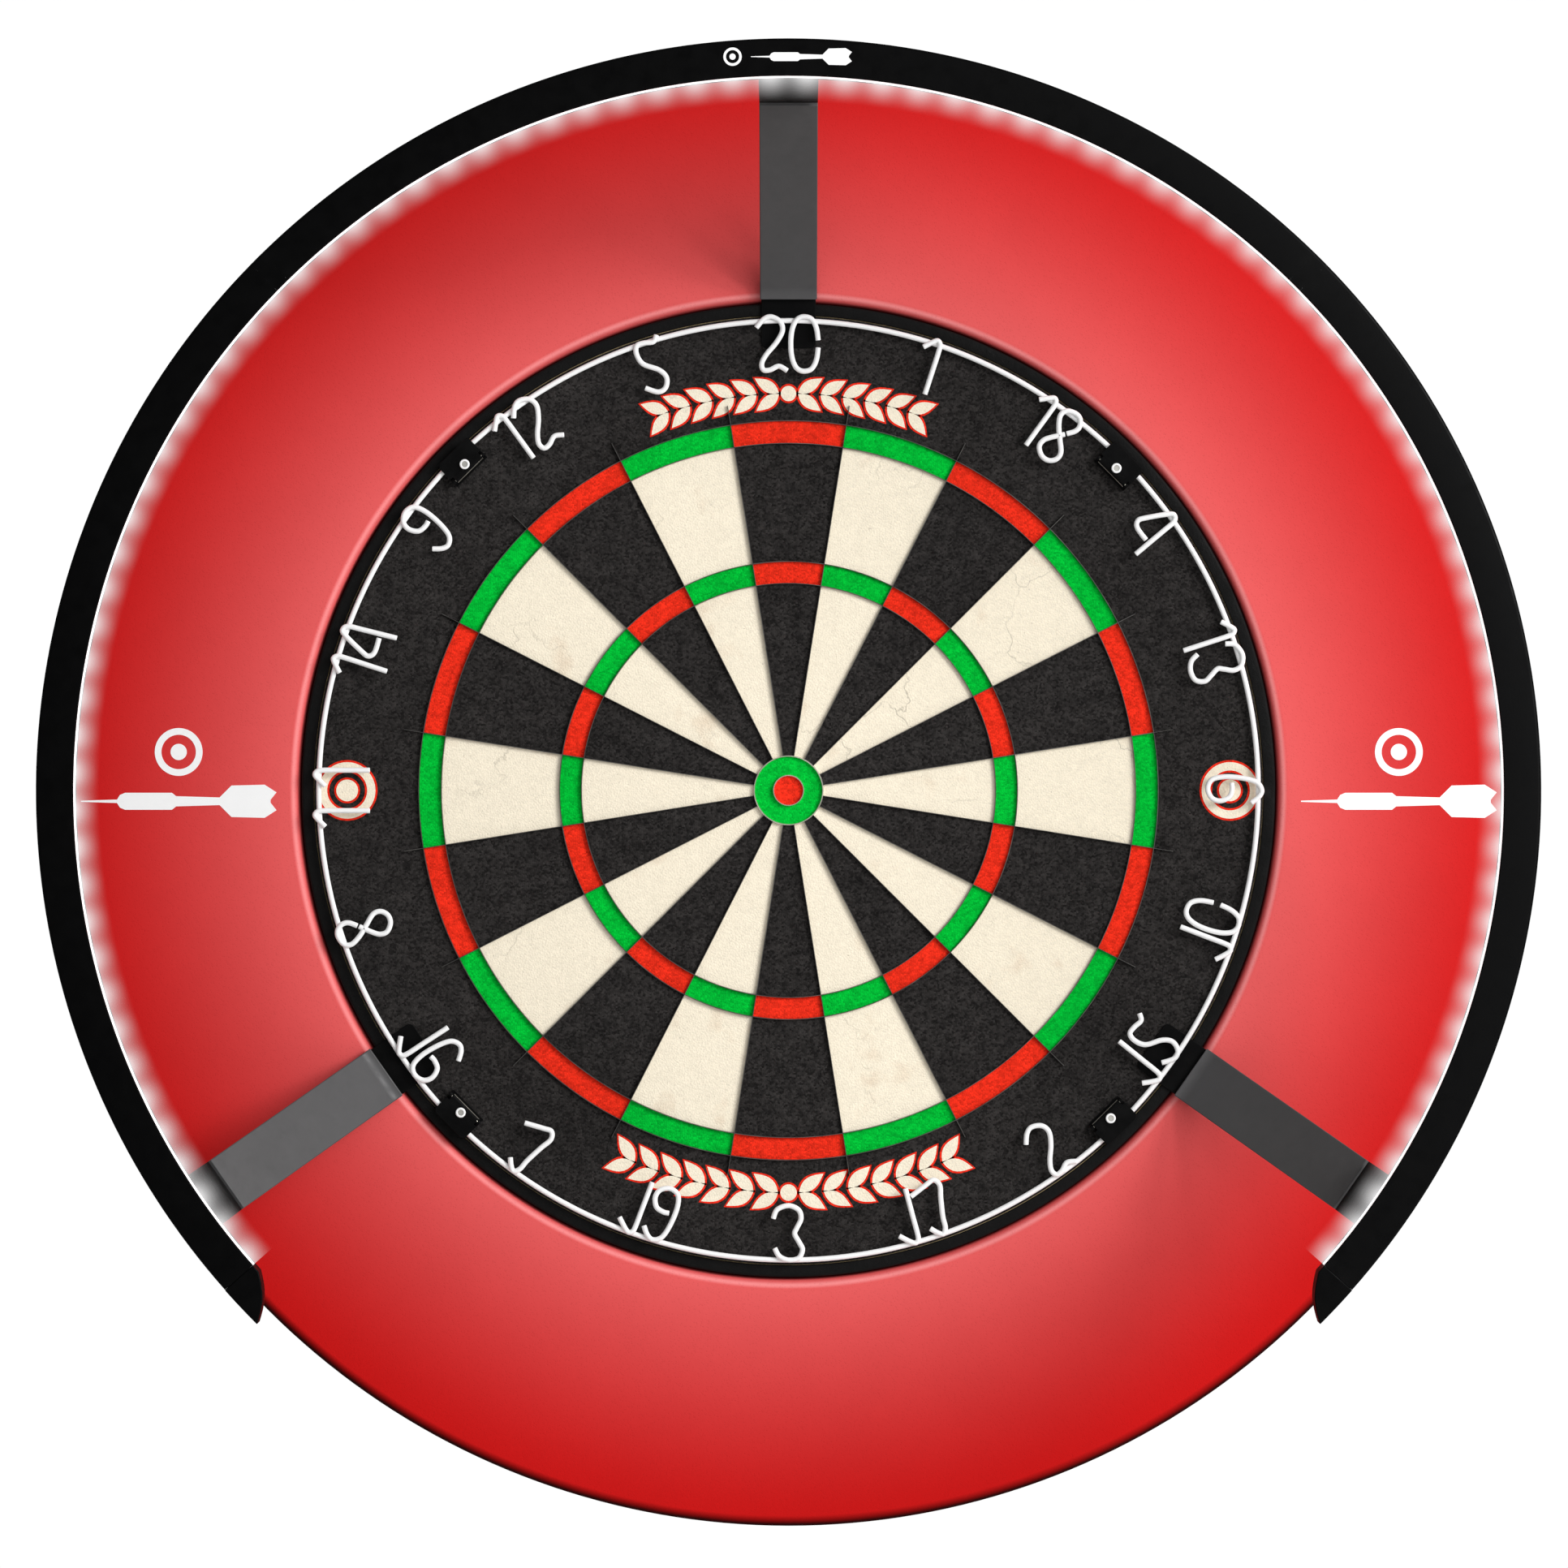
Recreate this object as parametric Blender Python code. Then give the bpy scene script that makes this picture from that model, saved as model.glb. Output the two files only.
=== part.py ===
"""Regulation dartboard with foam surround and a magnetic ring light, as an assembly of separate pieces.

Frame: metres, +Z up. The origin is on the wall, behind the bull, and the board faces -Y.
Places are given as a radius from the board's axis, an angle from +X, and a depth forward of the wall.
"""
import math

import bpy
import bmesh
from mathutils import Vector

MM = 0.001

# ---- driving dimensions, in millimetres ----
WALL_GAP = 8.0              # air between the wall and the back of the board
BOARD_THICKNESS = 38.0
BOARD_RADIUS = 224.0
BACKING_THICKNESS = 9.6
BAND_WALL = 1.2             # sheet thickness of the rim band
BAND_LIP = 5.5              # width of the rim band's front and back lips
FIT = 0.4                   # gap between pieces that touch

WIRE_WIDTH = 0.6            # blade wires of the web
WIRE_PROUD = 1.4
BULL_RADIUS = 6.9
OUTER_BULL_RADIUS = 15.8
WEB_RINGS = (95.2, 105.3, 159.6, 170.0)
WEB_END = 179.0             # outer end of the radial wires

NUMBER_RING_RADIUS = 215.8
RING_WIRE = 1.2             # radius of the number ring's wire
NUMERAL_HEIGHT = 25.0
NUMERAL_REACH = 217.5       # outermost centre line of an upright numeral
NUMERAL_REACH_LOW = 215.7   # the same on a numeral that reads from below

PAIR_OFFSET = 5.0           # half the distance between the two digits of a number
WIDE_PAIRS = {20: 7.7, 11: 9.3}
ASIDE = {1: 3.3, 2: -0.7, 6: -0.7, 7: -0.7, 17: -1.6, 20: -0.4}     # shift of a number along the ring

CLIP_WIDTH = 19.4
CLIP_ANGLES = (44.5, 134.8, 224.5, 314.5)
CLIP_BASE_END = 219.0       # outer end of the base plate
PIN_RADIAL = 208.6
PIN_RADIUS = 0.5
CURL_INNER = 0.9            # the flap's curl round the pin
CURL_OUTER = 1.6
FLAP_REACH = 10.6           # from the pin to the flap's free edge
FLAP_CORNER = 1.4           # bevel of the flap's two free corners
LUG = 1.3                   # thickness of the ears that hold the pin
STUD_RADIAL = 2.4           # from the pin to the stud
STUD_NECK = 0.9
STUD_HEAD = 2.35

SURROUND_RADIUS = 338.9
SURROUND_THICKNESS = 30.0
SURROUND_LIP = 5.6          # rounding of the front edge round the board
SURROUND_SHOULDER = 5.0     # rounding of the outer front edge
SURROUND_BACK_CUT = 4.0     # bevel of the outer back edge

ARM_ANGLES = {"top": 90, "left": 215, "right": 325}
ARM_WIDTH = 26.2
TONGUE_WIDTH = 25.0
TONGUE_INNER = 203.4
TONGUE_END = 234.5
STRIP_THICKNESS = 3.0
STRIP_BENDS = ((225.5, 3.1), (228.5, 3.4), (232.0, 5.6), (307.5, 81.0))     # (radius, rise off the face)
PAD_RISE = 132.5            # middle of the leg's pad, in front of the board
LEG_BENDS = ((308.7, 84.2), (312.3, 124.0), (314.0, 129.5), (319.0, 132.4), (328.0, PAD_RISE))
PLATE = 1.0                 # thickness of the tongues and the clips' base plates
TOUCH = 0.3                 # gap between pieces that rest on each other
MAGNET_RADIAL = 320.5
MAGNET_RADIUS = 6.0
MAGNET_THICKNESS = 3.0
KEEPER_SPAN = (314.0, 327.0)
KEEPER_HALF = 13.0

LIGHT_INNER = 311.9
LIGHT_OUTER = 328.3
LIGHT_HEIGHT = 138.9        # back of the light, in front of the board's face
LIGHT_DEPTH = 14.0
LIGHT_WALL = 1.5
LIGHT_END = 41.5            # degrees below horizontal where the housing stops
LIP_INNER = 301.8           # inner edge of the diffuser's lip
DIFFUSER_WALL = 1.0
JOINER_HALF = 0.6           # half the angle that a joiner takes
LED_INSET = 2.5             # from the housing's sides to the strip's edges
CAP_OUTER_END = 45.1        # degrees below horizontal where the cap's outer edge stops
CAP_INNER_END = 42.2
CAP_BULGE = (229.9, -222.0)
INLET_ANGLE = -39.8
INLET_BORE = 3.2
INLET_OUTER = 4.8
INLET_DEPTH = 9.0

HANGER_SHANK = 2.5
HANGER_HEAD = 6.0
FOOT_RADIUS = 9.0
FOOT_RADIAL = 180.0
SHEET = 1.6                 # sheet thickness of the wall bracket
BRACKET_HALF = 20.0
BRACKET_FLANGE = 40.0
BRACKET_DEPTH = 7.0
BRACKET_LOW, BRACKET_HIGH = -40.0, 25.0
WALL_SCREW_X = 31.0
WALL_SCREW_LENGTH = 28.0
WALL_SCREW_RADIUS = 1.9
WALL_SCREW_HEAD = 4.0

FACE = WALL_GAP + BOARD_THICKNESS
ROUND_STEPS = 60            # facets round the board
RING_BACK = FACE + 1.6      # the number ring's wire starts here, above the arm tongues
RING_DEPTH = RING_BACK + RING_WIRE
NUMERAL_DEPTH = RING_DEPTH + 1.8
PIN_DEPTH = RING_DEPTH + 1.1
HOLE_STEPS = 12             # facets round a small hole or rod

COLOURS = {
    "sisal": ((0.03, 0.028, 0.027), 0.95, 0.0),
    "backing": ((0.32, 0.22, 0.13), 0.8, 0.0),
    "black_steel": ((0.01, 0.01, 0.01), 0.5, 0.7),
    "bright_steel": ((0.72, 0.71, 0.68), 0.3, 1.0),
    "white_wire": ((0.9, 0.9, 0.9), 0.35, 0.0),
    "red_foam": ((0.52, 0.02, 0.02), 0.85, 0.0),
    "grey_metal": ((0.085, 0.083, 0.085), 0.4, 0.8),
    "black_plastic": ((0.008, 0.008, 0.008), 0.35, 0.0),
    "diffuser": ((0.95, 0.95, 0.95), 0.4, 0.0),
    "circuit_white": ((0.85, 0.85, 0.82), 0.6, 0.0),
    "magnet": ((0.6, 0.6, 0.6), 0.25, 1.0),
    "zinc": ((0.62, 0.6, 0.55), 0.35, 1.0),
    "rubber": ((0.02, 0.02, 0.02), 0.9, 0.0),
}


# ---- helpers ----
def clear_scene():
    for old in list(bpy.data.objects):
        bpy.data.objects.remove(old, do_unlink=True)


def material(name, finish):
    """A Principled material for one object."""
    colour, roughness, metallic = COLOURS[finish]
    made = bpy.data.materials.new(name)
    made.use_nodes = True
    shader = made.node_tree.nodes["Principled BSDF"]
    shader.inputs["Base Color"].default_value = (*colour, 1.0)
    shader.inputs["Roughness"].default_value = roughness
    shader.inputs["Metallic"].default_value = metallic
    made.diffuse_color = (*colour, 1.0)
    return made


def add_object(name, mesh, finish, angle=0.0, origin=(0.0, 0.0, 0.0), smooth=True):
    """Put a mesh in the scene. Its local +X points outward along the given angle."""
    item = bpy.data.objects.new(name, mesh)
    bpy.context.scene.collection.objects.link(item)
    item.rotation_euler = (0.0, -math.radians(angle), 0.0)
    item.location = origin
    if smooth:
        mesh.shade_smooth()
        mesh.set_sharp_from_angle(angle=math.radians(35))
    mesh.materials.clear()
    mesh.materials.append(material(name, finish))
    return item


def point(radial, depth, across=0.0):
    """A local point: radial along +X, depth forward along -Y, across along +Z."""
    return Vector((radial, -depth, across)) * MM


def mesh_from(name, build):
    """Run a bmesh builder and return its mesh with faces pointing out."""
    work = bmesh.new()
    build(work)
    bmesh.ops.recalc_face_normals(work, faces=work.faces)
    mesh = bpy.data.meshes.new(name)
    work.to_mesh(mesh)
    work.free()
    return mesh


def arc(centre, radius, start, end, steps):
    """Points of an arc in a (radius, depth) outline, angles in degrees."""
    points = []
    for step in range(steps + 1):
        turn = math.radians(start + (end - start) * step / steps)
        points.append((centre[0] + radius * math.cos(turn), centre[1] + radius * math.sin(turn)))
    return points


def turned(name, outline, steps=ROUND_STEPS, span=None):
    """Turn a closed (radius, depth) outline round the board's axis, fully or over a span of degrees."""
    whole = span is None
    start, end = (0.0, 360.0) if whole else span
    columns = steps if whole else steps + 1

    def build(work):
        rings = []
        centres = {}
        for index in range(columns):
            turn = math.radians(start + (end - start) * index / steps)
            ring = []
            for radius, depth in outline:
                if radius == 0.0:
                    if depth not in centres:
                        centres[depth] = work.verts.new(Vector((0.0, -depth, 0.0)) * MM)
                    ring.append(centres[depth])
                else:
                    place = Vector((radius * math.cos(turn), -depth, radius * math.sin(turn)))
                    ring.append(work.verts.new(place * MM))
            rings.append(ring)
        count = len(outline)
        for index in range(columns if whole else columns - 1):
            one, two = rings[index], rings[(index + 1) % columns]
            for k in range(count):
                corners = []
                for corner in (one[k], one[(k + 1) % count], two[(k + 1) % count], two[k]):
                    if corner not in corners:
                        corners.append(corner)
                if len(corners) > 2:
                    work.faces.new(corners)
        if not whole:
            work.faces.new(rings[0])
            work.faces.new(rings[-1])

    return mesh_from(name, build)


def prism(name, outline, low, high, along="across"):
    """Extrude an outline. It is (radial, depth) when drawn along across, or (radial, across) along depth."""

    def build(work):
        ends = []
        for level in (low, high):
            if along == "across":
                ends.append([work.verts.new(point(a, b, level)) for a, b in outline])
            else:
                ends.append([work.verts.new(point(a, level, b)) for a, b in outline])
        work.faces.new(ends[0])
        work.faces.new(ends[1])
        for k in range(len(outline)):
            following = (k + 1) % len(outline)
            work.faces.new((ends[0][k], ends[0][following], ends[1][following], ends[1][k]))

    return mesh_from(name, build)


def boolean(mesh, tools, operation):
    """Join or cut a mesh with other meshes and return the result as a new mesh."""
    base = bpy.data.objects.new("work_base", mesh)
    bpy.context.scene.collection.objects.link(base)
    helpers = []
    for tool in tools:
        helper = bpy.data.objects.new("work_tool", tool)
        bpy.context.scene.collection.objects.link(helper)
        helpers.append(helper)
        step = base.modifiers.new("join", "BOOLEAN")
        step.operation = operation
        step.solver = "EXACT"
        step.object = helper
    graph = bpy.context.evaluated_depsgraph_get()
    result = bpy.data.meshes.new_from_object(base.evaluated_get(graph))
    for helper in [base] + helpers:
        bpy.data.objects.remove(helper, do_unlink=True)
    return result


def rod(name, radius, low, high, centre, along, steps=HOLE_STEPS):
    """A round rod, along depth at (radial, across), or along across at (radial, depth)."""
    outline = [
        (centre[0] + radius * math.cos(2 * math.pi * k / steps),
         centre[1] + radius * math.sin(2 * math.pi * k / steps))
        for k in range(steps)
    ]
    return prism(name, outline, low, high, along)


def smooth_path(points, pieces):
    """A Catmull-Rom curve through the points, with a number of pieces between each pair."""
    padded = [points[0]] + list(points) + [points[-1]]
    curve = []
    for k in range(1, len(padded) - 2):
        p0, p1, p2, p3 = (Vector(p) for p in padded[k - 1:k + 3])
        for piece in range(pieces):
            t = piece / pieces
            curve.append(0.5 * ((2 * p1) + (p2 - p0) * t + (2 * p0 - 5 * p1 + 4 * p2 - p3) * t ** 2
                                + (3 * p1 - p0 - 3 * p2 + p3) * t ** 3))
    curve.append(Vector(points[-1]))
    return curve


def wire(work, path, radius, sides, closed=False):
    """Sweep a round section along a path that lies in a plane of constant depth."""
    count = len(path)
    loops = []
    for k, place in enumerate(path):
        before = path[k - 1] if closed or k > 0 else place
        after = path[(k + 1) % count] if closed or k < count - 1 else place
        along = (after - before).normalized()
        front = Vector((0.0, 1.0, 0.0))
        side = along.cross(front).normalized()
        loop = []
        for corner in range(sides):
            turn = 2 * math.pi * corner / sides
            offset = side * math.cos(turn) + front * math.sin(turn)
            loop.append(work.verts.new(place + offset * radius * MM))
        loops.append(loop)
    for k in range(count if closed else count - 1):
        one, two = loops[k], loops[(k + 1) % count]
        for corner in range(sides):
            following = (corner + 1) % sides
            work.faces.new((one[corner], one[following], two[following], two[corner]))
    if not closed:
        work.faces.new(loops[0])
        work.faces.new(loops[-1])


# ---- the board ----
def make_sisal():
    outer = BOARD_RADIUS - BAND_WALL - FIT
    back = WALL_GAP + BAND_WALL + FIT + BACKING_THICKNESS
    step = FACE - BAND_WALL - FIT
    lip = BOARD_RADIUS - BAND_LIP - FIT
    outline = [(0.0, back), (outer, back), (outer, step), (lip, step), (lip, FACE), (0.0, FACE)]
    add_object("sisal_disc", turned("sisal_disc", outline), "sisal")


def make_backing():
    outer = BOARD_RADIUS - BAND_WALL - FIT
    back = WALL_GAP + BAND_WALL + FIT
    front = back + BACKING_THICKNESS - FIT
    outline = [(HANGER_SHANK + FIT, back), (outer, back), (outer, front), (HANGER_SHANK + FIT, front)]
    add_object("backing_board", turned("backing_board", outline), "backing")


def make_rim_band():
    outer = BOARD_RADIUS
    inner = outer - BAND_WALL
    lip = outer - BAND_LIP
    outline = [
        (outer, WALL_GAP), (outer, FACE - 0.8), (outer - 0.8, FACE), (lip, FACE),
        (lip, FACE - BAND_WALL), (inner, FACE - BAND_WALL), (inner, WALL_GAP + BAND_WALL),
        (lip, WALL_GAP + BAND_WALL), (lip, WALL_GAP),
    ]
    add_object("rim_band", turned("rim_band", outline), "black_steel")


def make_web():
    """Blade wires: five rings and twenty radials as one flat web."""
    half = WIRE_WIDTH / 2
    radii = []
    for ring in (OUTER_BULL_RADIUS,) + WEB_RINGS:
        radii += [ring - half, ring + half]
    radii.append(WEB_END)
    sectors = 20
    cells = 3                       # one cell for the radial wire, the others between radials

    def column_angle(radius, column):
        sector, cell = divmod(column, cells)
        centre = math.radians(9 + 18 * sector)
        edge = half / radius
        if cell == 0:
            return centre - edge
        free = math.radians(18) - 2 * edge
        return centre + edge + free * (cell - 1) / (cells - 1)

    def build(work):
        columns = sectors * cells
        grid = {}

        def corner(level, row, column):
            key = (level, row, column % columns)
            if key not in grid:
                turn = column_angle(radii[row], column % columns)
                grid[key] = work.verts.new(point(radii[row] * math.cos(turn), level,
                                                 radii[row] * math.sin(turn)))
            return grid[key]

        filled = set()
        for row in range(len(radii) - 1):
            for column in range(columns):
                if row % 2 == 0 and row < len(radii) - 2 or column % cells == 0:
                    filled.add((row, column))
        low, high = FACE + TOUCH, FACE + TOUCH + WIRE_PROUD
        for row, column in filled:
            square = [(row, column), (row + 1, column), (row + 1, column + 1), (row, column + 1)]
            for level in (low, high):
                work.faces.new([corner(level, *cell) for cell in square])
            neighbours = [(row, (column - 1) % columns), (row + 1, column),
                          (row, (column + 1) % columns), (row - 1, column)]
            sides = [(0, 3), (1, 2), (2, 3), (0, 1)]
            edges = {0: (square[0], square[1]), 1: (square[1], square[2]),
                     2: (square[2], square[3]), 3: (square[3], square[0])}
            for k, beside in enumerate(neighbours):
                if beside in filled:
                    continue
                one, two = edges[k]
                work.faces.new((corner(low, *one), corner(low, *two),
                                corner(high, *two), corner(high, *one)))

    add_object("wire_web", mesh_from("wire_web", build), "bright_steel", smooth=False)
    low, high = FACE + TOUCH, FACE + TOUCH + WIRE_PROUD
    inner, outer = BULL_RADIUS - half, BULL_RADIUS + half
    ring = [(inner, low), (outer, low), (outer, high), (inner, high)]
    add_object("inner_bull_ring", turned("inner_bull_ring", ring, 24), "bright_steel")


# ---- the number ring ----
# Bent wire numerals: points in millimetres, x to the right, y up from the foot, 25 high.
SIX = [(6.3, 20.1), (3.5, 23.6), (0.5, 24.8), (-3.0, 22.5), (-4.9, 16.3), (-5.6, 8.0), (-4.2, 1.9),
       (0.0, 0.0), (4.2, 1.9), (5.5, 5.8), (3.6, 10.0), (0.0, 11.2), (-2.6, 11.0)]
GLYPHS = {
    "0": [(6.3 * math.copysign(abs(math.cos(t)) ** 0.8, math.cos(t)),
           12.5 + 12.5 * math.copysign(abs(math.sin(t)) ** 0.9, math.sin(t)))
          for t in (math.radians(7 + 346 * k / 16) for k in range(17))],
    "1": [(-7.2, 20.4), (-4.2, 23.4), (-2.0, 25.0), (-0.3, 23.6), (0.0, 20.5), (0.0, 10.0), (0.0, 0.0)],
    "2": [(-6.6, 20.1), (-3.4, 23.8), (0.0, 25.0), (4.2, 22.8), (5.3, 18.6), (2.5, 13.2), (-2.0, 7.8),
          (-4.2, 3.6), (-3.4, 0.6), (-0.3, 0.6), (3.6, 2.3), (7.4, 0.3)],
    "3": [(-7.0, 19.2), (-5.2, 23.2), (0.0, 25.0), (4.6, 23.0), (5.7, 19.0), (3.8, 14.8), (2.8, 12.0),
          (4.9, 8.1), (6.4, 4.8), (4.6, 0.9), (0.0, 0.0), (-4.2, 1.7), (-6.3, 5.3)],
    "4": [(5.9, 0.4), (4.8, 16.2), (4.2, 23.0), (2.2, 25.0), (0.0, 23.4), (-5.0, 13.4), (-5.9, 10.0),
          (-3.4, 7.9), (3.2, 7.9)],
    "5": [(6.8, 25.0), (4.6, 22.6), (0.3, 23.4), (-3.2, 23.2), (-4.5, 19.5), (-3.0, 14.3), (3.0, 9.6),
          (5.3, 5.2), (3.5, 0.9), (-0.4, 0.0), (-5.3, 3.4)],
    "6": SIX,
    "7": [(-7.4, 21.0), (0.7, 23.9), (4.6, 25.0), (6.6, 21.8), (5.2, 16.0), (3.5, 7.6), (3.1, 2.7),
          (1.4, 0.0), (-1.0, 1.3), (-3.5, 4.1)],
    "8": [(2.2, 15.2), (4.6, 18.4), (4.9, 21.4), (3.0, 24.2), (0.0, 25.0), (-4.0, 23.6), (-5.2, 20.2),
          (-2.8, 15.6), (1.0, 11.2), (4.9, 6.6), (5.1, 2.9), (2.4, 0.2), (-1.4, 0.2), (-4.7, 2.9),
          (-4.8, 6.4), (-2.7, 9.6), (1.4, 14.2)],
    "9": [(-x, NUMERAL_HEIGHT - y) for x, y in SIX],
    "J": [(1.1, 25.0), (0.4, 12.0), (0.0, 3.5), (-0.6, 0.9), (-2.3, 0.0), (-4.4, 1.4), (-8.2, 5.2)],
}
NUMBERS = (20, 1, 18, 4, 13, 6, 10, 15, 2, 17, 3, 19, 7, 16, 8, 11, 14, 9, 12, 5)
READ_FROM_BELOW = (10, 15, 2, 17, 3, 19, 7, 16)


def numeral_paths(number, angle, pieces):
    """Centre lines of a number's wires, placed on the board."""
    below = number in READ_FROM_BELOW
    digits = str(number)
    shift = WIDE_PAIRS.get(number, PAIR_OFFSET)
    aside = ASIDE.get(number, 0.0)
    offsets = [aside - shift, aside + shift] if len(digits) == 2 else [aside]
    turn = math.radians(angle)
    outward = Vector((math.cos(turn), 0.0, math.sin(turn)))
    clockwise = Vector((math.sin(turn), 0.0, -math.cos(turn)))
    paths = []
    for digit, offset in zip(digits, offsets):
        glyph = GLYPHS["J" if below and digit == "1" else digit]
        path = []
        for spot in smooth_path([(gx, gy, 0.0) for gx, gy in glyph], pieces):
            across, up = spot.x + offset, spot.y
            if below:
                radius, across = NUMERAL_REACH_LOW - up, -across
            else:
                radius = NUMERAL_REACH - NUMERAL_HEIGHT + up
            place = outward * radius + clockwise * across
            path.append(Vector((place.x, -NUMERAL_DEPTH, place.z)) * MM)
        paths.append(path)
    return paths


def make_number_ring():
    steps = 48
    ring = []
    for k in range(steps):
        turn = 2 * math.pi * (k + 0.5) / steps
        across, up = NUMBER_RING_RADIUS * math.cos(turn), NUMBER_RING_RADIUS * math.sin(turn)
        ring.append(point(across, RING_DEPTH, up))
    hoop = mesh_from("hoop", lambda work: wire(work, ring, RING_WIRE, 6, closed=True))

    def numerals(work):
        for index, number in enumerate(NUMBERS):
            for path in numeral_paths(number, 90 - 18 * index, 1):
                wire(work, path, RING_WIRE, 4)

    digits = mesh_from("digits", numerals)
    add_object("number_ring", boolean(hoop, [digits], "UNION"), "white_wire")


# ---- clips ----
def clip_base_mesh():
    inner = PIN_RADIAL - 2.4
    half = CLIP_WIDTH / 2
    outline = [(inner, -half), (CLIP_BASE_END, -half), (CLIP_BASE_END, half), (inner, half)]
    plate = prism("plate", outline, FACE + TOUCH, FACE + TOUCH + PLATE, "depth")
    ears = []
    for side in (-1, 1):
        low, high = sorted((side * half, side * (half - LUG)))
        ear = [(PIN_RADIAL - CURL_OUTER, FACE + PLATE), (PIN_RADIAL + CURL_OUTER, FACE + PLATE),
               (PIN_RADIAL + CURL_OUTER, PIN_DEPTH + 1.2), (PIN_RADIAL - CURL_OUTER, PIN_DEPTH + 1.2)]
        ears.append(prism("ear", ear, low, high))
    joined = boolean(plate, ears, "UNION")
    hole = rod("hole", PIN_RADIUS + TOUCH, -half - 1, half + 1, (PIN_RADIAL, PIN_DEPTH), "across", 8)
    return boolean(joined, [hole], "DIFFERENCE")


def clip_flap_mesh():
    """The flap in its own frame, with the pin's axis at the origin: a curl, a plate and the stud's hole."""
    half = CLIP_WIDTH / 2
    outline = [(4.0, CURL_OUTER)] + arc((0, 0), CURL_OUTER, 90, 320, 6)
    outline += arc((0, 0), CURL_INNER, 320, 90, 6) + [(4.0, CURL_INNER)]
    curl = prism("curl", outline, -half + LUG + TOUCH, half - LUG - TOUCH)
    cut = FLAP_CORNER
    shape = [(2.0, -half), (FLAP_REACH - cut, -half), (FLAP_REACH, cut - half),
             (FLAP_REACH, half - cut), (FLAP_REACH - cut, half), (2.0, half)]
    plate = prism("plate", shape, CURL_INNER, CURL_OUTER, "depth")
    joined = boolean(curl, [plate], "UNION")
    hole = rod("hole", STUD_NECK + FIT, 0, 4, (STUD_RADIAL, 0), "depth", 8)
    return boolean(joined, [hole], "DIFFERENCE")


def stud_mesh():
    """A domed rivet whose axis is the local depth direction."""
    top = CURL_OUTER + TOUCH
    outline = [(0.0, 0.2), (STUD_NECK, 0.2), (STUD_NECK, top), (STUD_HEAD, top),
               (STUD_HEAD, top + 0.4), (1.5, top + 1.0), (0.0, top + 1.2)]
    return turned("stud", outline, 10)


def make_clips():
    base, flap, stud = clip_base_mesh(), clip_flap_mesh(), stud_mesh()
    pin = rod("pin", PIN_RADIUS, -CLIP_WIDTH / 2, CLIP_WIDTH / 2, (0.0, 0.0), "across", 8)
    for number, angle in enumerate(CLIP_ANGLES, 1):
        turn = math.radians(angle)
        axis = point(PIN_RADIAL * math.cos(turn), PIN_DEPTH, PIN_RADIAL * math.sin(turn))
        outward = PIN_RADIAL + STUD_RADIAL
        spot = point(outward * math.cos(turn), PIN_DEPTH, outward * math.sin(turn))
        add_object(f"clip_base_{number}", base.copy(), "black_steel", angle)
        add_object(f"clip_pin_{number}", pin.copy(), "bright_steel", angle, axis)
        add_object(f"clip_flap_{number}", flap.copy(), "black_steel", angle, axis)
        add_object(f"clip_stud_{number}", stud.copy(), "white_wire", angle, spot)


# ---- surround ----
def make_surround():
    inner = BOARD_RADIUS + FIT
    back = FACE - SURROUND_THICKNESS
    cut, shoulder, lip = SURROUND_BACK_CUT, SURROUND_SHOULDER, SURROUND_LIP
    outline = [(inner, back), (SURROUND_RADIUS - cut, back), (SURROUND_RADIUS, back + cut)]
    outline += arc((SURROUND_RADIUS - shoulder, FACE - shoulder), shoulder, 0, 90, 4)
    outline += arc((inner + lip, FACE - lip), lip, 90, 180, 3)
    add_object("foam_surround", turned("foam_surround", outline), "red_foam")


# ---- the light's arms ----
def bent_strip(name, line, thickness, half_width):
    """A strip of constant thickness whose middle follows a line in (radial, depth)."""
    left, right = [], []
    for k, spot in enumerate(line):
        before = Vector(line[max(k - 1, 0)])
        after = Vector(line[min(k + 1, len(line) - 1)])
        along = (after - before).normalized()
        normal = Vector((-along.y, along.x))
        bend = 1.0
        if 0 < k < len(line) - 1:
            incoming = (Vector(spot) - before).normalized()
            bend = 1.0 / max(0.5, incoming.dot(along))
        left.append(tuple(Vector(spot) + normal * thickness / 2 * bend))
        right.append(tuple(Vector(spot) - normal * thickness / 2 * bend))
    return prism(name, left + right[::-1], -half_width, half_width)


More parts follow.
